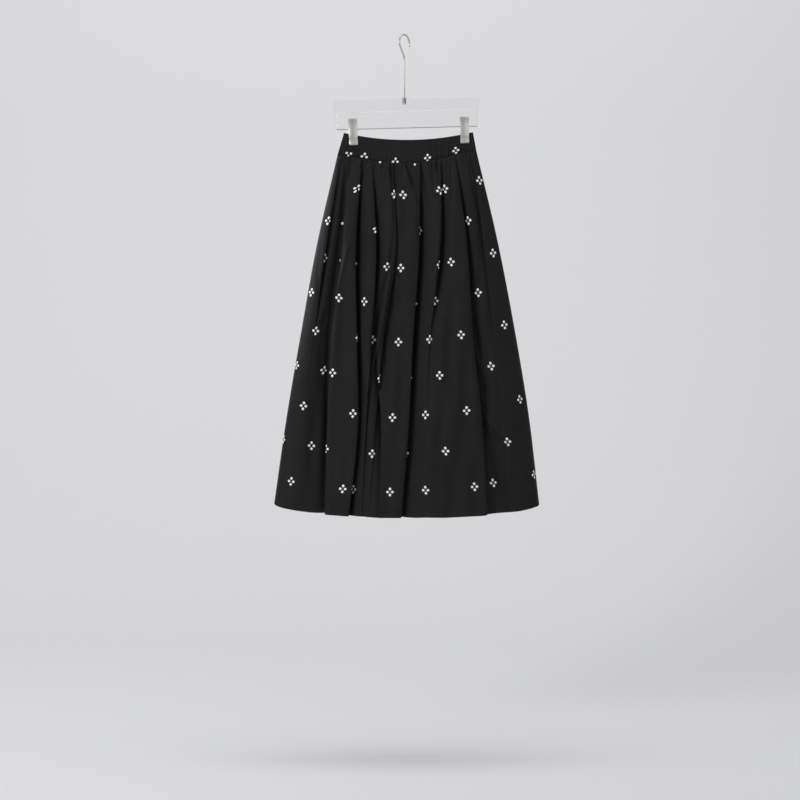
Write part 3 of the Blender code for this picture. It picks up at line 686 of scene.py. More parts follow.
def band_grid(side, seams, seed):
    """Points of the band as a loop of rows, and each one's place on the flat cloth."""
    across = np.linspace(0, 1, BAND_COLUMNS + 1)
    across = mix((across, 0.5 - 0.5 * np.cos(math.pi * across)), BAND_END_CLOSENESS)
    lens = np.maximum(1 - np.abs(2 * across - 1) ** BAND_ROUNDNESS, 0) ** 0.5
    in_bow = np.clip((across - BAND_BOW_SPAN[0]) / BAND_BOW_SPAN[1], 0, 1)
    bow = BAND_BOW * np.sin(math.pi * in_bow) ** 2
    pressing, press_reach, press_from = CLIP_PRESS
    swell, swell_height, swell_spread = PUCKER_SWELL
    loop = band_loop()
    grid = np.zeros((len(loop), len(across), 3))
    down = np.zeros((len(loop), len(across)))
    flat = seams[0][0] * MM + (seams[1][0] - seams[0][0]) * MM * across
    for row, (height, layer) in enumerate(loop):
        left, right = [mix(pair, height) for pair in zip((LEFT_EDGE[0], RIGHT_EDGE[0]), BAND_TOP_X)]
        x = (left + (right - left) * across) * MM
        top, seam = band_top_height(across), seam_height(across) + SEAM_GAP / 2
        z = seam + (top - seam) * height
        below_top = top - z
        pressed = sum(np.exp(-((x - clip) / press_reach) ** 4) * (height > press_from) for clip in CLIP_X)
        strength = swell * np.exp(-((height - swell_height) / swell_spread) ** 2) + PUCKER_LEAST
        strength = strength + PUCKER_AT_TOP * (below_top < BAND_STITCHES[0])
        groove = sum(np.exp(-((below_top - stitch) / STITCH_GROOVE) ** 2) for stitch in BAND_STITCHES)
        shape = PUCKER_DEPTH * strength * band_pucker(x, seed) - STITCH_DEPTH * groove
        shape = shape - SEAM_DEPTH * math.exp(-(height / SEAM_GROOVE) ** 2)
        shape = shape * MM * (1 - pressing * pressed)
        face = BAND_FACE - BAND_SET_BACK + bow * (1 - BOW_LOSS * height) + shape
        face = face - layer * BAND_WALL
        distance = np.maximum(face * lens, SEAM_GAP / 2 + BAND_END * (1 - layer))
        grid[row] = np.stack([x, side * distance, z], axis=-1)
        down[row] = z - seam if layer < 0.5 else 2 * (top - seam) - (z - seam)
    return grid, np.broadcast_to(flat, down.shape), down


bands = {}
for word, side, seams, seed in (("front", -1, FRONT_SEAMS, 5), ("back", 1, BACK_SEAMS, 6)):
    grid, flat, up = band_grid(side, seams, seed)
    rows, columns = up.shape
    outer_rows = len([1 for _, layer in band_loop() if layer == 0])
    bands[word] = (grid[:outer_rows], flat[:outer_rows], up[:outer_rows], side)
    index = np.arange(rows * columns).reshape(rows, columns)
    following = np.roll(index, -1, axis=0)
    quads = np.stack([index[:, :-1], index[:, 1:], following[:, 1:], following[:, :-1]], axis=-1)
    faces = quads.reshape(-1, 4).tolist() + [index[:, 0].tolist(), index[::-1, -1].tolist()]
    casing = mesh_object("waistband_" + word + "_casing", grid.reshape(-1, 3).tolist(), faces)
    map_places(casing.data, "cloth", np.stack([flat, up], axis=-1).reshape(-1, 2))
    make_active(casing)
    bpy.ops.object.mode_set(mode="EDIT")
    face_outwards()
    leave_edit()
    casing.data.shade_smooth()
    casing.data.materials.append(cotton)
    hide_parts("waistband_" + word)
    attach(casing, "root")


# ------------------------------------------------------------
# Stitches and flowers lie on the cloth. A place on it is found from its place on the flat cloth, and then
# in true millimetres along the folded cloth, so that nothing sewn on it is stretched.
# ------------------------------------------------------------
def cloth_line(surface, fall):
    """The cloth's line at a distance below the waist seam: points, normals, flat places, lengths."""
    grid, flat, down, side = surface
    fall_rows = down if down.ndim == 1 else down[:, down.shape[1] // 2] * -1
    order = np.argsort(fall_rows)
    place = np.interp(fall, fall_rows[order], order)
    low = int(np.clip(math.floor(place), 0, len(grid) - 2))
    share = np.clip(place - low, 0, 1)
    line = grid[low] * (1 - share) + grid[low + 1] * share
    cloth = flat[low] * (1 - share) + flat[low + 1] * share
    steep = grid[low + 1] - grid[low]
    if down.ndim > 1:
        steep = -steep
    tangents = np.gradient(line, axis=0)
    normals = np.cross(steep, tangents) * (1 if side < 0 else -1)
    normals /= np.linalg.norm(normals, axis=1, keepdims=True) + 1e-12
    lengths = np.concatenate([[0], np.cumsum(np.linalg.norm(np.diff(line, axis=0), axis=1))])
    return line, normals, cloth, lengths


def on_line(cloth_row, lengths):
    """Points and normals of a cloth line at true lengths along it."""
    line, normals, _, run = cloth_row
    points = np.stack([np.interp(lengths, run, line[:, axis]) for axis in range(3)], axis=-1)
    facing = np.stack([np.interp(lengths, run, normals[:, axis]) for axis in range(3)], axis=-1)
    return points, facing / (np.linalg.norm(facing, axis=-1, keepdims=True) + 1e-12)


STITCH_LENGTH = 2.3 * MM
STITCH_PITCH = 3.1 * MM
THREAD_RADIUS = 0.24 * MM
STITCH_MARGIN = 4 * MM                    # bare cloth at the two ends of a row
STITCH_LIFT = 0.05 * MM                   # height of a stitch's middle line over the cloth
# Rings of a stitch: place along it, thickness, and height, as shares of its length and of the thread's
# radius.
STITCH_RINGS = ((-0.5, 0.25, -0.35), (-0.36, 0.85, 0.0), (0.0, 1.0, 0.25), (0.36, 0.85, 0.0),
                (0.5, 0.25, -0.35))
STITCH_SIDES = 5
SEAM_STITCH_RISE = 1.8 * MM               # the waist seam's own stitches lie this far above the seam


def sewn_object(name, vertices, faces):
    """An object of thread: its mesh closed pieces, their faces turned outwards and shaded smooth."""
    made = mesh_object(name, [tuple(v) for v in vertices], faces)
    shape = bmesh.new()
    shape.from_mesh(made.data)
    bmesh.ops.recalc_face_normals(shape, faces=shape.faces)
    shape.to_mesh(made.data)
    shape.free()
    made.data.shade_smooth()
    return made


def stitch_rows(name, rows):
    """One mesh of all stitches of some rows: short lengths of thread that dip in at both ends."""
    vertices, faces = [], []
    for cloth_row in rows:
        total = cloth_row[3][-1]
        centres = np.arange(STITCH_MARGIN, total - STITCH_MARGIN, STITCH_PITCH)
        middles, facing = on_line(cloth_row, centres)
        ahead, _ = on_line(cloth_row, centres + STITCH_LENGTH / 2)
        behind, _ = on_line(cloth_row, centres - STITCH_LENGTH / 2)
        for middle, normal, way in zip(middles, facing, ahead - behind):
            way = way / (np.linalg.norm(way) + 1e-12)
            sideways = np.cross(normal, way)
            base = len(vertices)
            for run, thick, lift in STITCH_RINGS:
                centre = middle + way * run * STITCH_LENGTH + normal * (STITCH_LIFT + lift * THREAD_RADIUS)
                for number in range(STITCH_SIDES):
                    turn = 2 * math.pi * number / STITCH_SIDES
                    out = math.cos(turn) * sideways + math.sin(turn) * normal
                    vertices.append(centre + thick * THREAD_RADIUS * out)
            for first in range(base, base + (len(STITCH_RINGS) - 1) * STITCH_SIDES, STITCH_SIDES):
                for number in range(STITCH_SIDES):
                    a, b = first + number, first + (number + 1) % STITCH_SIDES
                    faces.append((a, b, b + STITCH_SIDES, a + STITCH_SIDES))
            faces.append(tuple(base + number for number in reversed(range(STITCH_SIDES))))
            end = base + (len(STITCH_RINGS) - 1) * STITCH_SIDES
            faces.append(tuple(end + number for number in range(STITCH_SIDES)))
    return sewn_object(name, vertices, faces)


# Spun polyester sewing thread, a shade greyer and shinier than the cotton because it takes the dye less.
thread, tree, shader = new_material("black_polyester_thread", Roughness=0.5, Specular_IOR_Level=0.45,
                                    Sheen_Weight=0.05)
grain = add_node(tree, "ShaderNodeTexCoord")
twist = add_node(tree, "ShaderNodeTexNoise", {}, {"Scale": 1800.0, "Detail": 2.0},
                 {"Vector": grain.outputs["Object"]})
ply = two_tone(tree, "1D1D1F", "2B2B2D", twist.outputs["Fac"])
tree.links.new(ply.outputs["Result"], shader.inputs["Base Color"])

for word in ("front", "back"):
    hem_row = cloth_line(panels[word], CUT_LENGTH - HEM_TURN)
    band_middle = bands[word][2][:, bands[word][2].shape[1] // 2]
    band_height = band_middle[-1] / BAND_LAST_OUTER
    band_rows = [cloth_line(bands[word], stitch - band_height) for stitch in BAND_STITCHES]
    seam_row = cloth_line(bands[word], -SEAM_STITCH_RISE)
    sewn = stitch_rows("stitches_" + word, [hem_row, seam_row] + band_rows)
    sewn.data.materials.append(thread)
    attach(sewn, "root")


# ------------------------------------------------------------
# The flowers: four-petal sprigs machine-embroidered in white rayon, in a half-drop repeat 108 mm across and
# 81.4 mm down on the flat cloth. Each petal is a raised pad of satin stitch whose threads run outwards from
# the middle.
# ------------------------------------------------------------
REPEAT_ACROSS = 108 * MM
REPEAT_DOWN = 81.4 * MM
REPEAT_ROWS = 9
BACK_SHIFT = 21 * MM                      # how much further right the back's repeat starts
REPEATS_ACROSS = range(-1, 10)            # more than fit: petals past a side seam are left out
FIRST_ODD_ROW = (46 * MM, 67 * MM)        # a flower of the first row: across, and below the waist seam
# The row over the waist seam: x and distance below the seam, mm, and the petals that the gathers leave in
# sight. The front's are set one by one where the photo shows them.
FRONT_SEAM_ROW = ((-121.2, -7, "EWS"), (-87.6, -5, "NEW"), (-54.6, 7, "N"), (-19.8, -2, "NEW"),
                  (22.4, 11, "N"), (50.8, -6.9, "NEWS"), (112.6, -11, "NEWS"))
BACK_SEAM_ROW = ((-116, -11, "NEWS"), (-70, -6, "NEW"), (-38, 8, "N"), (-4, -7, "NEWS"), (46, -5, "NEW"),
                 (78, 8, "N"), (118, -9, "NEWS"))
# Flowers of the front that are left out, as the photo shows none there: for each row, their numbers from
# the left. On the real skirt they are taken to lie inside folds, which are deeper than the built ones.
FRONT_TUCKED = ((0, 2, 7), (2, 4, 6, 7), (7,), (1, 4, 7), (1, 7), (3, 7), (1, 3, 7), (3, 7), (1,))
# The weft lies bowed: how much higher than the straight the rows lie at the left seam, in the middle and at
# the right seam, mm, at the five stations.
# Where these values come from can no longer be shown.
WEFT_BOW = ((0, 6, 10, 7, 1), (-5, -2, -1, -3, -2), (2, 9, 19, 18, 10))
PETAL_WAYS = {"E": (1, 0), "N": (0, 1), "W": (-1, 0), "S": (0, -1)}
PETAL_REACH = (5.2 * MM, 6.4 * MM)        # petal middle from the flower's middle, sideways and lengthways
PETAL_SIZE = (5.9 * MM, 7.0 * MM)         # width and length of a petal
PETAL_RISE = 0.95 * MM
PETAL_THREADS = 6                         # real ones are 0.3 mm apart, drawn about 1 mm apart to show
PETAL_ROWS = 4
PETAL_END = 0.97                          # where its first and last rows lie, as a share of its half length
PETAL_ROUNDNESS = 2.3                     # power of its outline
PETAL_TAPER = 0.45                        # how much narrower it is at the flower's middle
PETAL_DOME = (1.02, 0.9)                  # its dome: half width, and how much it falls off lengthways
THREAD_RIDGE = 0.13                       # height of a drawn thread, and of the ragged ends, as shares
THREAD_RAGGED = 0.05
PETAL_EDGE_DIP = 0.12                     # depth of its edge in the cloth, as a share of its rise
SIDE_MARGINS = (1 * MM, 0.5 * MM)         # least distance of a flower's middle and a petal from a side seam
PANEL_REACH = (0.3 * MM, CUT_LENGTH)      # distances below the seam where petals lie, on panel and band
BAND_REACH = (-60 * MM, -0.2 * MM)


def petal_pattern():
    """A petal's grid: sideways and outwards from its middle as shares of its half size, and height."""
    columns = 2 * PETAL_THREADS
    rows = []
    for row in range(PETAL_ROWS + 1):
        outward = PETAL_END * (2 * row / PETAL_ROWS - 1)
        taper = 1.0 if outward > 0 else 1 - PETAL_TAPER * outward ** 2
        width = (1 - abs(outward) ** PETAL_ROUNDNESS) ** 0.5 * taper
        at_end = row in (0, PETAL_ROWS)
        line = []
        for column in range(columns + 1):
            sideways = width * (2 * column / columns - 1)
            dome = max(1 - (sideways / PETAL_DOME[0]) ** 2 - outward ** 2 * PETAL_DOME[1], 0) ** 0.5
            ridge = THREAD_RIDGE * (1 if column % 2 else -1)
            ragged = THREAD_RAGGED * math.sin(7.3 * column + 2.1 * row) if at_end else 0
            height = -PETAL_EDGE_DIP if at_end or column in (0, columns) else dome + ridge
            line.append((sideways, outward + ragged, height))
        rows.append(line)
    return rows


PETAL = petal_pattern()


def embroider(name, word, sprigs):
    """All flowers of one side as one mesh; a sprig is a flower's place on the flat cloth and its petals."""
    vertices, faces, petal_places = [], [], []
    columns = len(PETAL[0])
    for across, fall, petals in sprigs:
        for way in [PETAL_WAYS[letter] for letter in petals]:
            reach = PETAL_REACH[abs(way[1])]
            middle_fall = fall - way[1] * reach
            surface, (highest, lowest) = bands[word], BAND_REACH
            if middle_fall > 0:
                surface, (highest, lowest) = panels[word], PANEL_REACH
            base = len(vertices)
            fits = True
            petal = []
            for line in PETAL:
                for sideways, outward, height in line:
                    out = reach + outward * PETAL_SIZE[1] / 2
                    aside = sideways * PETAL_SIZE[0] / 2
                    right = way[0] * out - way[1] * aside
                    up = way[1] * out + way[0] * aside
                    petal.append((right, up, height, aside, out))
            falls = [round((fall - up) / MM, 2) for _, up, _, _, _ in petal]
            lines = {place: cloth_line(surface, min(max(place * MM, highest), lowest))
                     for place in set(falls)}
            for (right, up, height, aside, out), place in zip(petal, falls):
                row = lines[place]
                if not row[2][0] + SIDE_MARGINS[0] < across < row[2][-1] - SIDE_MARGINS[0]:
                    fits = False
                    break
                start = np.interp(across, row[2], row[3])
                if not SIDE_MARGINS[1] < start + right < row[3][-1] - SIDE_MARGINS[1]:
                    fits = False
                    break
                point, normal = on_line(row, np.array([start + right]))
                vertices.append(point[0] + normal[0] * height * PETAL_RISE)
                petal_places.append((aside, out))
            if not fits:
                del vertices[base:]
                del petal_places[base:]
                continue
            for row in range(len(PETAL) - 1):
                for column in range(columns - 1):
                    a = base + row * columns + column
                    faces.append((a, a + 1, a + 1 + columns, a + columns))
            last = base + (len(PETAL) - 1) * columns
            under = [base + column for column in range(columns)]
            under += [base + row * columns + columns - 1 for row in range(1, len(PETAL))]
            under += [last + column for column in range(columns - 2, -1, -1)]
            under += [base + row * columns for row in range(len(PETAL) - 2, 0, -1)]
            faces.append(tuple(reversed(under)))
    made = sewn_object(name, vertices, faces)
    map_places(made.data, "petal", np.array(petal_places))
    return made


def weft_rise(across, fall):
    """How much higher than the straight a row of flowers lies at a place on the flat cloth."""
    left, middle, right = [along(row, fall / CUT_LENGTH) * MM for row in WEFT_BOW]
    out = min(max(2 * across / CUT_WIDTH - 1, -1.0), 1.0)
    return mix((middle, left if out < 0 else right), abs(out) ** 0.9)


def sprig_places(word, seam_row, tucked, shift):
    """Every flower of one side: the row over the waist seam, and the repeat on the panel."""
    sprigs = []
    for x, fall, petals in seam_row:
        line, _, cloth, _ = cloth_line(panels[word] if fall > 0 else bands[word], fall * MM)
        sprigs.append((np.interp(x * MM, line[:, 0], cloth), fall * MM, petals))
    for number in range(REPEAT_ROWS):
        first = FIRST_ODD_ROW[0] + shift - number % 2 * REPEAT_ACROSS / 2
        fall = FIRST_ODD_ROW[1] + number * REPEAT_DOWN
        for repeat in REPEATS_ACROSS:
            across = first + repeat * REPEAT_ACROSS
            if repeat not in tucked[number]:
                sprigs.append((across, fall - weft_rise(across, fall), "NEWS"))
    return sprigs


# White rayon thread: bright and silky, its sheen running across the stitches, faintly shaded between the
# threads.
STRAND_PITCH = 0.38 * MM
rayon, tree, shader = new_material("white_rayon_embroidery", Roughness=0.42, Specular_IOR_Level=0.5,
                                   Sheen_Weight=0.25, Sheen_Roughness=0.3)
petal_map = add_node(tree, "ShaderNodeUVMap", {"uv_map": "petal"}).outputs["UV"]
strands = bands_texture(tree, "X", WAVE_SCALE / STRAND_PITCH, 1.5, 2.0, 2.0, petal_map)
shade = two_tone(tree, "E2E1DD", "FBFBF9", strands)
tree.links.new(shade.outputs["Result"], shader.inputs["Base Color"])
strand_bump = bump(tree, 0.5, 0.1 * MM, Height=strands)
tree.links.new(strand_bump.outputs["Normal"], shader.inputs["Normal"])

for word, seam_row, tucked, shift in (("front", FRONT_SEAM_ROW, FRONT_TUCKED, 0.0),
                                      ("back", BACK_SEAM_ROW, ((),) * REPEAT_ROWS, BACK_SHIFT)):
    flowers = embroider("embroidered_flowers_" + word, word, sprig_places(word, seam_row, tucked, shift))
    flowers.data.materials.append(rayon)
    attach(flowers, "root")


# ------------------------------------------------------------
# The clear hanger: one injection moulding of polished acrylic, a thick rail over a thin blade, hanging 1.5
# degrees low on the left. The blade has a window for each clip, and the rail a bore for the hook's insert.
# ------------------------------------------------------------
HANGER_X = 3.8 * MM
HANGER_TOP_Z = -136.5 * MM
HANGER_ROLL = math.radians(1.5)
RAIL = Vector((323, 12, 27.5)) * MM
BLADE = Vector((309, 6, 37)) * MM
RAIL_EDGE = 2.5 * MM
BLADE_EDGE = 2.0 * MM
BLADE_OVERLAP = 4 * MM                    # how far the blade runs up inside the rail
WINDOW = (25 * MM, 10.5 * MM)
WINDOW_EDGE = 1.5 * MM
BORE_RADIUS = 3.8 * MM
BORE_DEPTH = 13 * MM
CLIP_PINS = {"left": (CLIP_X[0], -187.4 * MM, math.radians(2.6)),       # x, z and tilt of each clip's pin
             "right": (CLIP_X[1], -183.0 * MM, math.radians(1.1))}
SPRING_RADIUS = 3.1 * MM


def select_all_in_edit(kind="VERT"):
    bpy.ops.object.mode_set(mode="EDIT")
    bpy.ops.mesh.select_mode(type=kind)
    bpy.ops.mesh.select_all(action="SELECT")


def turn_selected(angle, axis, centre=(0, 0, 0)):
    bpy.ops.transform.rotate(value=angle, orient_axis=axis, center_override=centre)


def bar_block(name, size, centre, edge, segments):
    """A box with rounded edges, at its place in the mesh."""
    deselect()
    bpy.ops.mesh.primitive_cube_add(size=1.0)
    block = bpy.context.object
    block.name = name
    select_all_in_edit("EDGE")
    bpy.ops.transform.resize(value=size)
    bpy.ops.mesh.bevel(offset=edge, segments=segments, affect="EDGES")
    bpy.ops.mesh.select_all(action="SELECT")
    bpy.ops.transform.translate(value=centre)
    leave_edit()
    return block


def round_bar(name, radius, length, centre, axis, sides=32):
    """A round bar along X or Z, at its place in the mesh."""
    deselect()
    bpy.ops.mesh.primitive_cylinder_add(vertices=sides, radius=radius, depth=length)
    bar = bpy.context.object
    bar.name = name
    select_all_in_edit()
    if axis == "X":
        turn_selected(math.pi / 2, "Y")
    bpy.ops.transform.translate(value=centre)
    leave_edit()
    return bar


def boolean(target, tool, operation):
    """Joins or cuts target with tool, then removes the tool."""
    change = target.modifiers.new(operation.lower(), "BOOLEAN")
    change.operation = operation
    change.solver = "EXACT"
    change.object = tool
    apply_modifiers(target)
    bpy.data.objects.remove(tool, do_unlink=True)


def break_edges(obj, name, width, segments):
    """Rounds a piece's sharp edges a little."""
    edges = obj.modifiers.new(name, "BEVEL")
    edges.width = width
    edges.segments = segments
    edges.limit_method = "ANGLE"
    apply_modifiers(obj)


def turn_mesh(obj, angle, axis, centre):
    """Turns a mesh about an axis through a point, clockwise as seen from the axis's tip."""
    make_active(obj)
    select_all_in_edit()
    turn_selected(angle, axis, centre)
    leave_edit()


def finish_hard(obj, material, node, smooth=math.radians(32)):
    """Smooth shading up to an angle, material, and what the piece stands for."""
    make_active(obj)
    bpy.ops.object.shade_smooth_by_angle(angle=smooth)
    obj.data.materials.clear()
    obj.data.materials.append(material)
    if node:
        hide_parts(node)
    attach(obj, "root")


hanger_middle = Vector((HANGER_X, 0, HANGER_TOP_Z))
rail_centre = hanger_middle - Vector((0, 0, RAIL.z / 2))
blade_size = BLADE + Vector((0, 0, BLADE_OVERLAP))
blade_centre = hanger_middle - Vector((0, 0, RAIL.z + BLADE.z / 2 - BLADE_OVERLAP / 2))
bar = bar_block("clear_hanger_bar", RAIL, rail_centre, RAIL_EDGE, 5)
boolean(bar, bar_block("blade", blade_size, blade_centre, BLADE_EDGE, 5), "UNION")
to_hanger = Matrix.Rotation(HANGER_ROLL, 4, "Y")
for word, (pin_x, pin_z, _) in CLIP_PINS.items():
    pin = hanger_middle + to_hanger @ (Vector((pin_x, 0, pin_z)) - hanger_middle)
    sill = pin.z - SPRING_RADIUS - 1.5 * SEAM_GAP
    window_centre = (pin.x, 0, sill + WINDOW[1] / 2)
    window = bar_block("window", (WINDOW[0], 3 * BLADE.y, WINDOW[1]), window_centre, WINDOW_EDGE, 5)
    boolean(bar, window, "DIFFERENCE")
turn_mesh(bar, HANGER_ROLL, "Y", hanger_middle)
boolean(bar, round_bar("bore", BORE_RADIUS, 2 * BORE_DEPTH, (0, 0, HANGER_TOP_Z), "Z"), "DIFFERENCE")

# Polished acrylic (PMMA), clear right through: refraction shows only at the rounded edges, the step and the
# bore. It drinks a little light on the way, so its edges, seen along the moulding, look grey.
acrylic, tree, _ = new_material("polished_clear_acrylic", Base_Color=linear("FEFEFE"), Roughness=0.015,
                                IOR=1.49, Transmission_Weight=1.0)
drink = add_node(tree, "ShaderNodeVolumeAbsorption", {}, {"Color": linear("000000"), "Density": 2.5})
tree.links.new(drink.outputs["Volume"], tree.nodes["Material Output"].inputs["Volume"])
even = bar.modifiers.new("even_faces", "WEIGHTED_NORMAL")
even.keep_sharp = True
finish_hard(bar, acrylic, "hanger_bar", math.radians(24))
apply_modifiers(bar)

# The blade's outer edges are left a little matt, as the mould's parting line made them, and coloured
# grey: painted shade for the dark line that refraction draws along a clear edge.
matt_edge_painted_shade, _, _ = new_material("matt_acrylic_edge_painted_shade", Base_Color=linear("85898B"), Roughness=0.4, IOR=1.49,
                               Transmission_Weight=0.35)
bar.data.materials.append(matt_edge_painted_shade)
# The blade's foot and end faces get the edge material, whose grey is painted shade.
for face in bar.data.polygons:
    middle = to_hanger @ (face.center - hanger_middle)
    facing = to_hanger @ face.normal
    at_foot = middle.z < -RAIL.z - BLADE.z + 2 * BLADE_EDGE and facing.z < -0.25
    at_end = abs(middle.x) > BLADE.x / 2 - 2 * BLADE_EDGE and abs(facing.x) > 0.8
    if at_foot or at_end and middle.z < -RAIL.z - 1 * MM:
        face.material_index = 1


# ------------------------------------------------------------
# The hook: 3.5 mm steel wire, nickel-plated, bent round a crown and back into line with its shank, its end
# tumbled round. It turns in a small flanged insert pressed into the rail, and was left turned 52 degrees
# from the bar.
# ------------------------------------------------------------
WIRE_RADIUS = 1.75 * MM
HOOK_INNER_RADIUS = 16 * MM
HOOK_YAW = math.radians(52)
HOOK_TIP_ANGLE = math.radians(-25)
HOOK_LEAVE_ANGLE = math.radians(215)
HOOK_BEND_RADIUS = 20 * MM
FERRULE_RADIUS = 3.5 * MM
FERRULE_FLANGE = (4.8 * MM, 1.2 * MM)
FERRULE_LENGTH = 11 * MM
FERRULE_FLOOR = 2.5 * MM

hook_radius = HOOK_INNER_RADIUS + WIRE_RADIUS
crown_centre = Vector((0, 0, -HOOK_INNER_RADIUS))
tip = crown_centre + hook_radius * Vector((math.cos(HOOK_TIP_ANGLE), 0, math.sin(HOOK_TIP_ANGLE)))
leave = crown_centre + hook_radius * Vector((math.cos(HOOK_LEAVE_ANGLE), 0, math.sin(HOOK_LEAVE_ANGLE)))
heading = Vector((-math.sin(HOOK_LEAVE_ANGLE), 0, math.cos(HOOK_LEAVE_ANGLE)))
bend_turn = math.acos(-heading.z)
corner = leave + heading * (-leave.x / heading.x)
bend_run = HOOK_BEND_RADIUS * math.tan(bend_turn / 2)
bend_centre = Vector((-HOOK_BEND_RADIUS, 0, corner.z - bend_run))
shank_end = HANGER_TOP_Z - FERRULE_LENGTH + FERRULE_FLOOR + SEAM_GAP

deselect()
bpy.ops.mesh.primitive_circle_add(vertices=20, radius=WIRE_RADIUS, fill_type="NOTHING")
hook = bpy.context.object
hook.name = "bent_wire_hook"
select_all_in_edit()
turn_selected(HOOK_TIP_ANGLE, "Y")
bpy.ops.transform.translate(value=tip)
bpy.ops.mesh.spin(steps=44, angle=HOOK_LEAVE_ANGLE - HOOK_TIP_ANGLE, center=crown_centre, axis=(0, 1, 0))
extrude(corner - heading * bend_run - leave)
bpy.ops.mesh.spin(steps=10, angle=-bend_turn, center=bend_centre, axis=(0, 1, 0))
extrude((0, 0, shank_end - bend_centre.z))
face_outwards(close_ends=True)
bpy.ops.mesh.select_mode(type="EDGE")
edit_select(hook, lambda edge: any(len(face.verts) > 4 for face in edge.link_faces))
bpy.ops.mesh.bevel(offset=0.9 * MM, segments=4, affect="EDGES")
leave_edit()
turn_mesh(hook, -HOOK_YAW, "Z", (0, 0, 0))

deselect()
bpy.ops.mesh.primitive_cylinder_add(vertices=40, radius=FERRULE_FLANGE[0], depth=FERRULE_FLANGE[1])
ferrule = bpy.context.object
ferrule.name = "flanged_insert"
select_all_in_edit("FACE")
bpy.ops.transform.translate(value=(0, 0, HANGER_TOP_Z + SEAM_GAP + FERRULE_FLANGE[1] / 2))
edit_select(ferrule, lambda face: face.normal.z < -0.9)
bpy.ops.mesh.inset(thickness=FERRULE_FLANGE[0] - FERRULE_RADIUS)
extrude((0, 0, -FERRULE_LENGTH - SEAM_GAP))
edit_select(ferrule, lambda face: (face.normal.z > 0.9
                                   and face.calc_center_median().z > HANGER_TOP_Z + SEAM_GAP))
bpy.ops.mesh.inset(thickness=FERRULE_FLANGE[0] - WIRE_RADIUS - SEAM_GAP)
bore_drop = SEAM_GAP + FERRULE_FLANGE[1] + FERRULE_LENGTH - FERRULE_FLOOR
extrude((0, 0, -bore_drop))
leave_edit()
break_edges(ferrule, "turned_edges", 0.22 * MM, 3)

# Nickel plate on drawn steel wire: warm grey, fairly bright, with the faint lengthwise drawing lines of the
# wire.
nickel, tree, shader = new_material("nickel_plated_steel", Metallic=1.0, Base_Color=linear("C6C4C0"),
                                    Roughness=0.27)
place = add_node(tree, "ShaderNodeTexCoord")
along_metal = add_node(tree, "ShaderNodeMapping", {}, {"Scale": (1.0, 1.0, 0.05)},
                       {"Vector": place.outputs["Object"]})
brushing = add_node(tree, "ShaderNodeTexNoise", {}, {"Scale": 900.0, "Detail": 3.0, "Roughness": 0.65},
                    {"Vector": along_metal.outputs["Vector"]})
rub = add_node(tree, "ShaderNodeMapRange", {}, {"To Min": 0.2, "To Max": 0.42},
               {"Value": brushing.outputs["Fac"]})
tree.links.new(rub.outputs["Result"], shader.inputs["Roughness"])
brush_bump = bump(tree, 0.12, 0.05 * MM, Height=brushing.outputs["Fac"])
tree.links.new(brush_bump.outputs["Normal"], shader.inputs["Normal"])
finish_hard(hook, nickel, "hook_wire", math.radians(60))
finish_hard(ferrule, nickel, "hook_ferrule")


# ------------------------------------------------------------
# The clips: each is two plates pressed from 1 mm nickel-plated steel, with ears on a riveted pin, pushed
# shut by a coil spring round the pin. Their lips flare outwards, and shallow ribs across them grip the
# cloth.
# ------------------------------------------------------------
CLIP_WIDTH = 19 * MM
CLIP_WALL = 1.0 * MM
# Height from the pin and distance of the plate's inner face from the middle plane, mm, from top to lip.
CLIP_PROFILE = (
    (7.0, 5.2), (3.0, 4.4), (-8.0, 3.7), (-17.0, 3.7), (-24.0, 4.8), (-38.5, 4.8), (-39.5, 4.55),
    (-40.5, 4.8), (-42.0, 4.8), (-43.0, 4.55), (-44.0, 4.8), (-46.0, 4.8), (-49.5, 5.3), (-51.0, 6.3),
)
EAR_HEIGHT = 5.6 * MM
EAR_PAST_PIN = 2.6 * MM
PIN_RADIUS = 1.2 * MM
PIN_HALF_LENGTH = 10.6 * MM
SPRING_HALF_LENGTH = 6.2 * MM
SPRING_WIRE = 0.42 * MM
SPRING_TURNS = 9


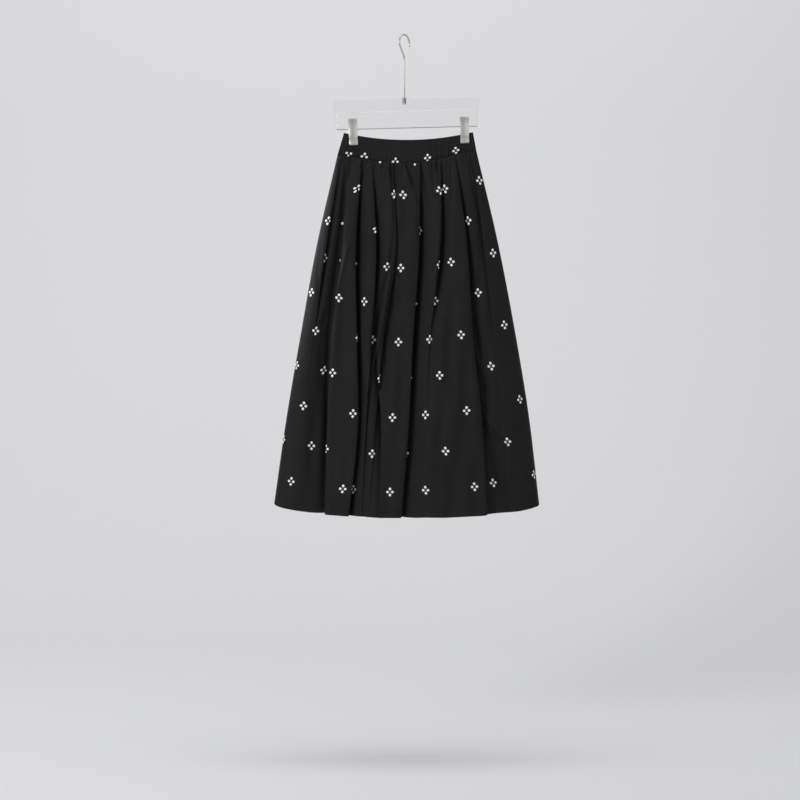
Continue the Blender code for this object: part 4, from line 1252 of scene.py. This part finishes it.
def clip_plate(name, side, ear_middle):
    """A pressed plate: its profile drawn down from the top edge, its ears, its thickness, broken edges."""
    deselect()
    bpy.ops.mesh.primitive_plane_add(size=1.0)
    plate = bpy.context.object
    plate.name = name
    (top, top_face), (next_down, next_face) = CLIP_PROFILE[:2]
    select_all_in_edit("EDGE")
    bpy.ops.transform.resize(value=(CLIP_WIDTH, (top - next_down) * MM, 1))
    turn_selected(-math.pi / 2, "X")
    bpy.ops.transform.translate(value=(0, side * top_face * MM, (top + next_down) / 2 * MM))
    edit_select(plate, lambda edge: all(v.co.z < (next_down + 0.5) * MM for v in edge.verts))
    bpy.ops.transform.translate(value=(0, side * (next_face - top_face) * MM, 0))
    for (height, face), (lower, lower_face) in zip(CLIP_PROFILE[1:], CLIP_PROFILE[2:]):
        extrude((0, side * (lower_face - face) * MM, (lower - height) * MM))
    face_outwards()
    leave_edit()
    wall = plate.modifiers.new("sheet_steel", "SOLIDIFY")
    wall.thickness = CLIP_WALL
    wall.offset = side * (1.0 if plate.data.polygons[3].normal.y > 0 else -1.0)
    apply_modifiers(plate)
    for hand in (-1, 1):
        root = (CLIP_PROFILE[1][1] + 0.5) * MM
        depth = root + EAR_PAST_PIN
        middle = (hand * ear_middle, side * (root - depth / 2), 0)
        boolean(plate, bar_block("ear", (CLIP_WALL, depth, EAR_HEIGHT), middle, 0.3 * MM, 2), "UNION")
    hole = round_bar("pin_hole", PIN_RADIUS + SEAM_GAP / 2, 2 * CLIP_WIDTH, (0, 0, 0), "X")
    boolean(plate, hole, "DIFFERENCE")
    break_edges(plate, "broken_edges", 0.16 * MM, 2)
    return plate


def clip_pin(name):
    """The pin, its two ends riveted over."""
    pin = round_bar(name, PIN_RADIUS, 2 * PIN_HALF_LENGTH, (0, 0, 0), "X", 24)
    break_edges(pin, "riveted_ends", 0.45 * MM, 4)
    return pin


def clip_spring(name):
    """The coil spring, wound round the pin."""
    deselect()
    bpy.ops.mesh.primitive_circle_add(vertices=8, radius=SPRING_WIRE, fill_type="NGON")
    spring = bpy.context.object
    spring.name = name
    select_all_in_edit()
    bpy.ops.transform.translate(value=(SPRING_RADIUS - SPRING_WIRE, 0, 0))
    turn_selected(math.pi / 2, "X")
    leave_edit()
    coil = spring.modifiers.new("coil", "SCREW")
    coil.angle = 2 * math.pi * SPRING_TURNS
    coil.screw_offset = 2 * (SPRING_HALF_LENGTH - SPRING_WIRE)
    coil.steps = coil.render_steps = 20 * SPRING_TURNS
    coil.use_normal_calculate = True
    apply_modifiers(spring)
    select_all_in_edit()
    bpy.ops.transform.translate(value=(0, 0, -SPRING_HALF_LENGTH + SPRING_WIRE))
    turn_selected(math.pi / 2, "Y")
    bpy.ops.mesh.select_mode(type="EDGE")
    face_outwards(close_ends=True)
    leave_edit()
    return spring


for word, (pin_x, pin_z, tilt) in CLIP_PINS.items():
    ear_outer = (CLIP_WIDTH - CLIP_WALL) / 2
    for part, made in (("front", clip_plate("clip_plate_front_" + word, -1, ear_outer)),
                       ("back", clip_plate("clip_plate_back_" + word, 1, ear_outer - CLIP_WALL - SEAM_GAP)),
                       ("pin", clip_pin("clip_rivet_" + word)),
                       ("spring", clip_spring("clip_coil_" + word))):
        make_active(made)
        select_all_in_edit()
        turn_selected(tilt, "Y")
        bpy.ops.transform.translate(value=(pin_x, 0, pin_z))
        leave_edit()
        finish_hard(made, nickel, "clip_" + word + "_" + part, math.radians(40))
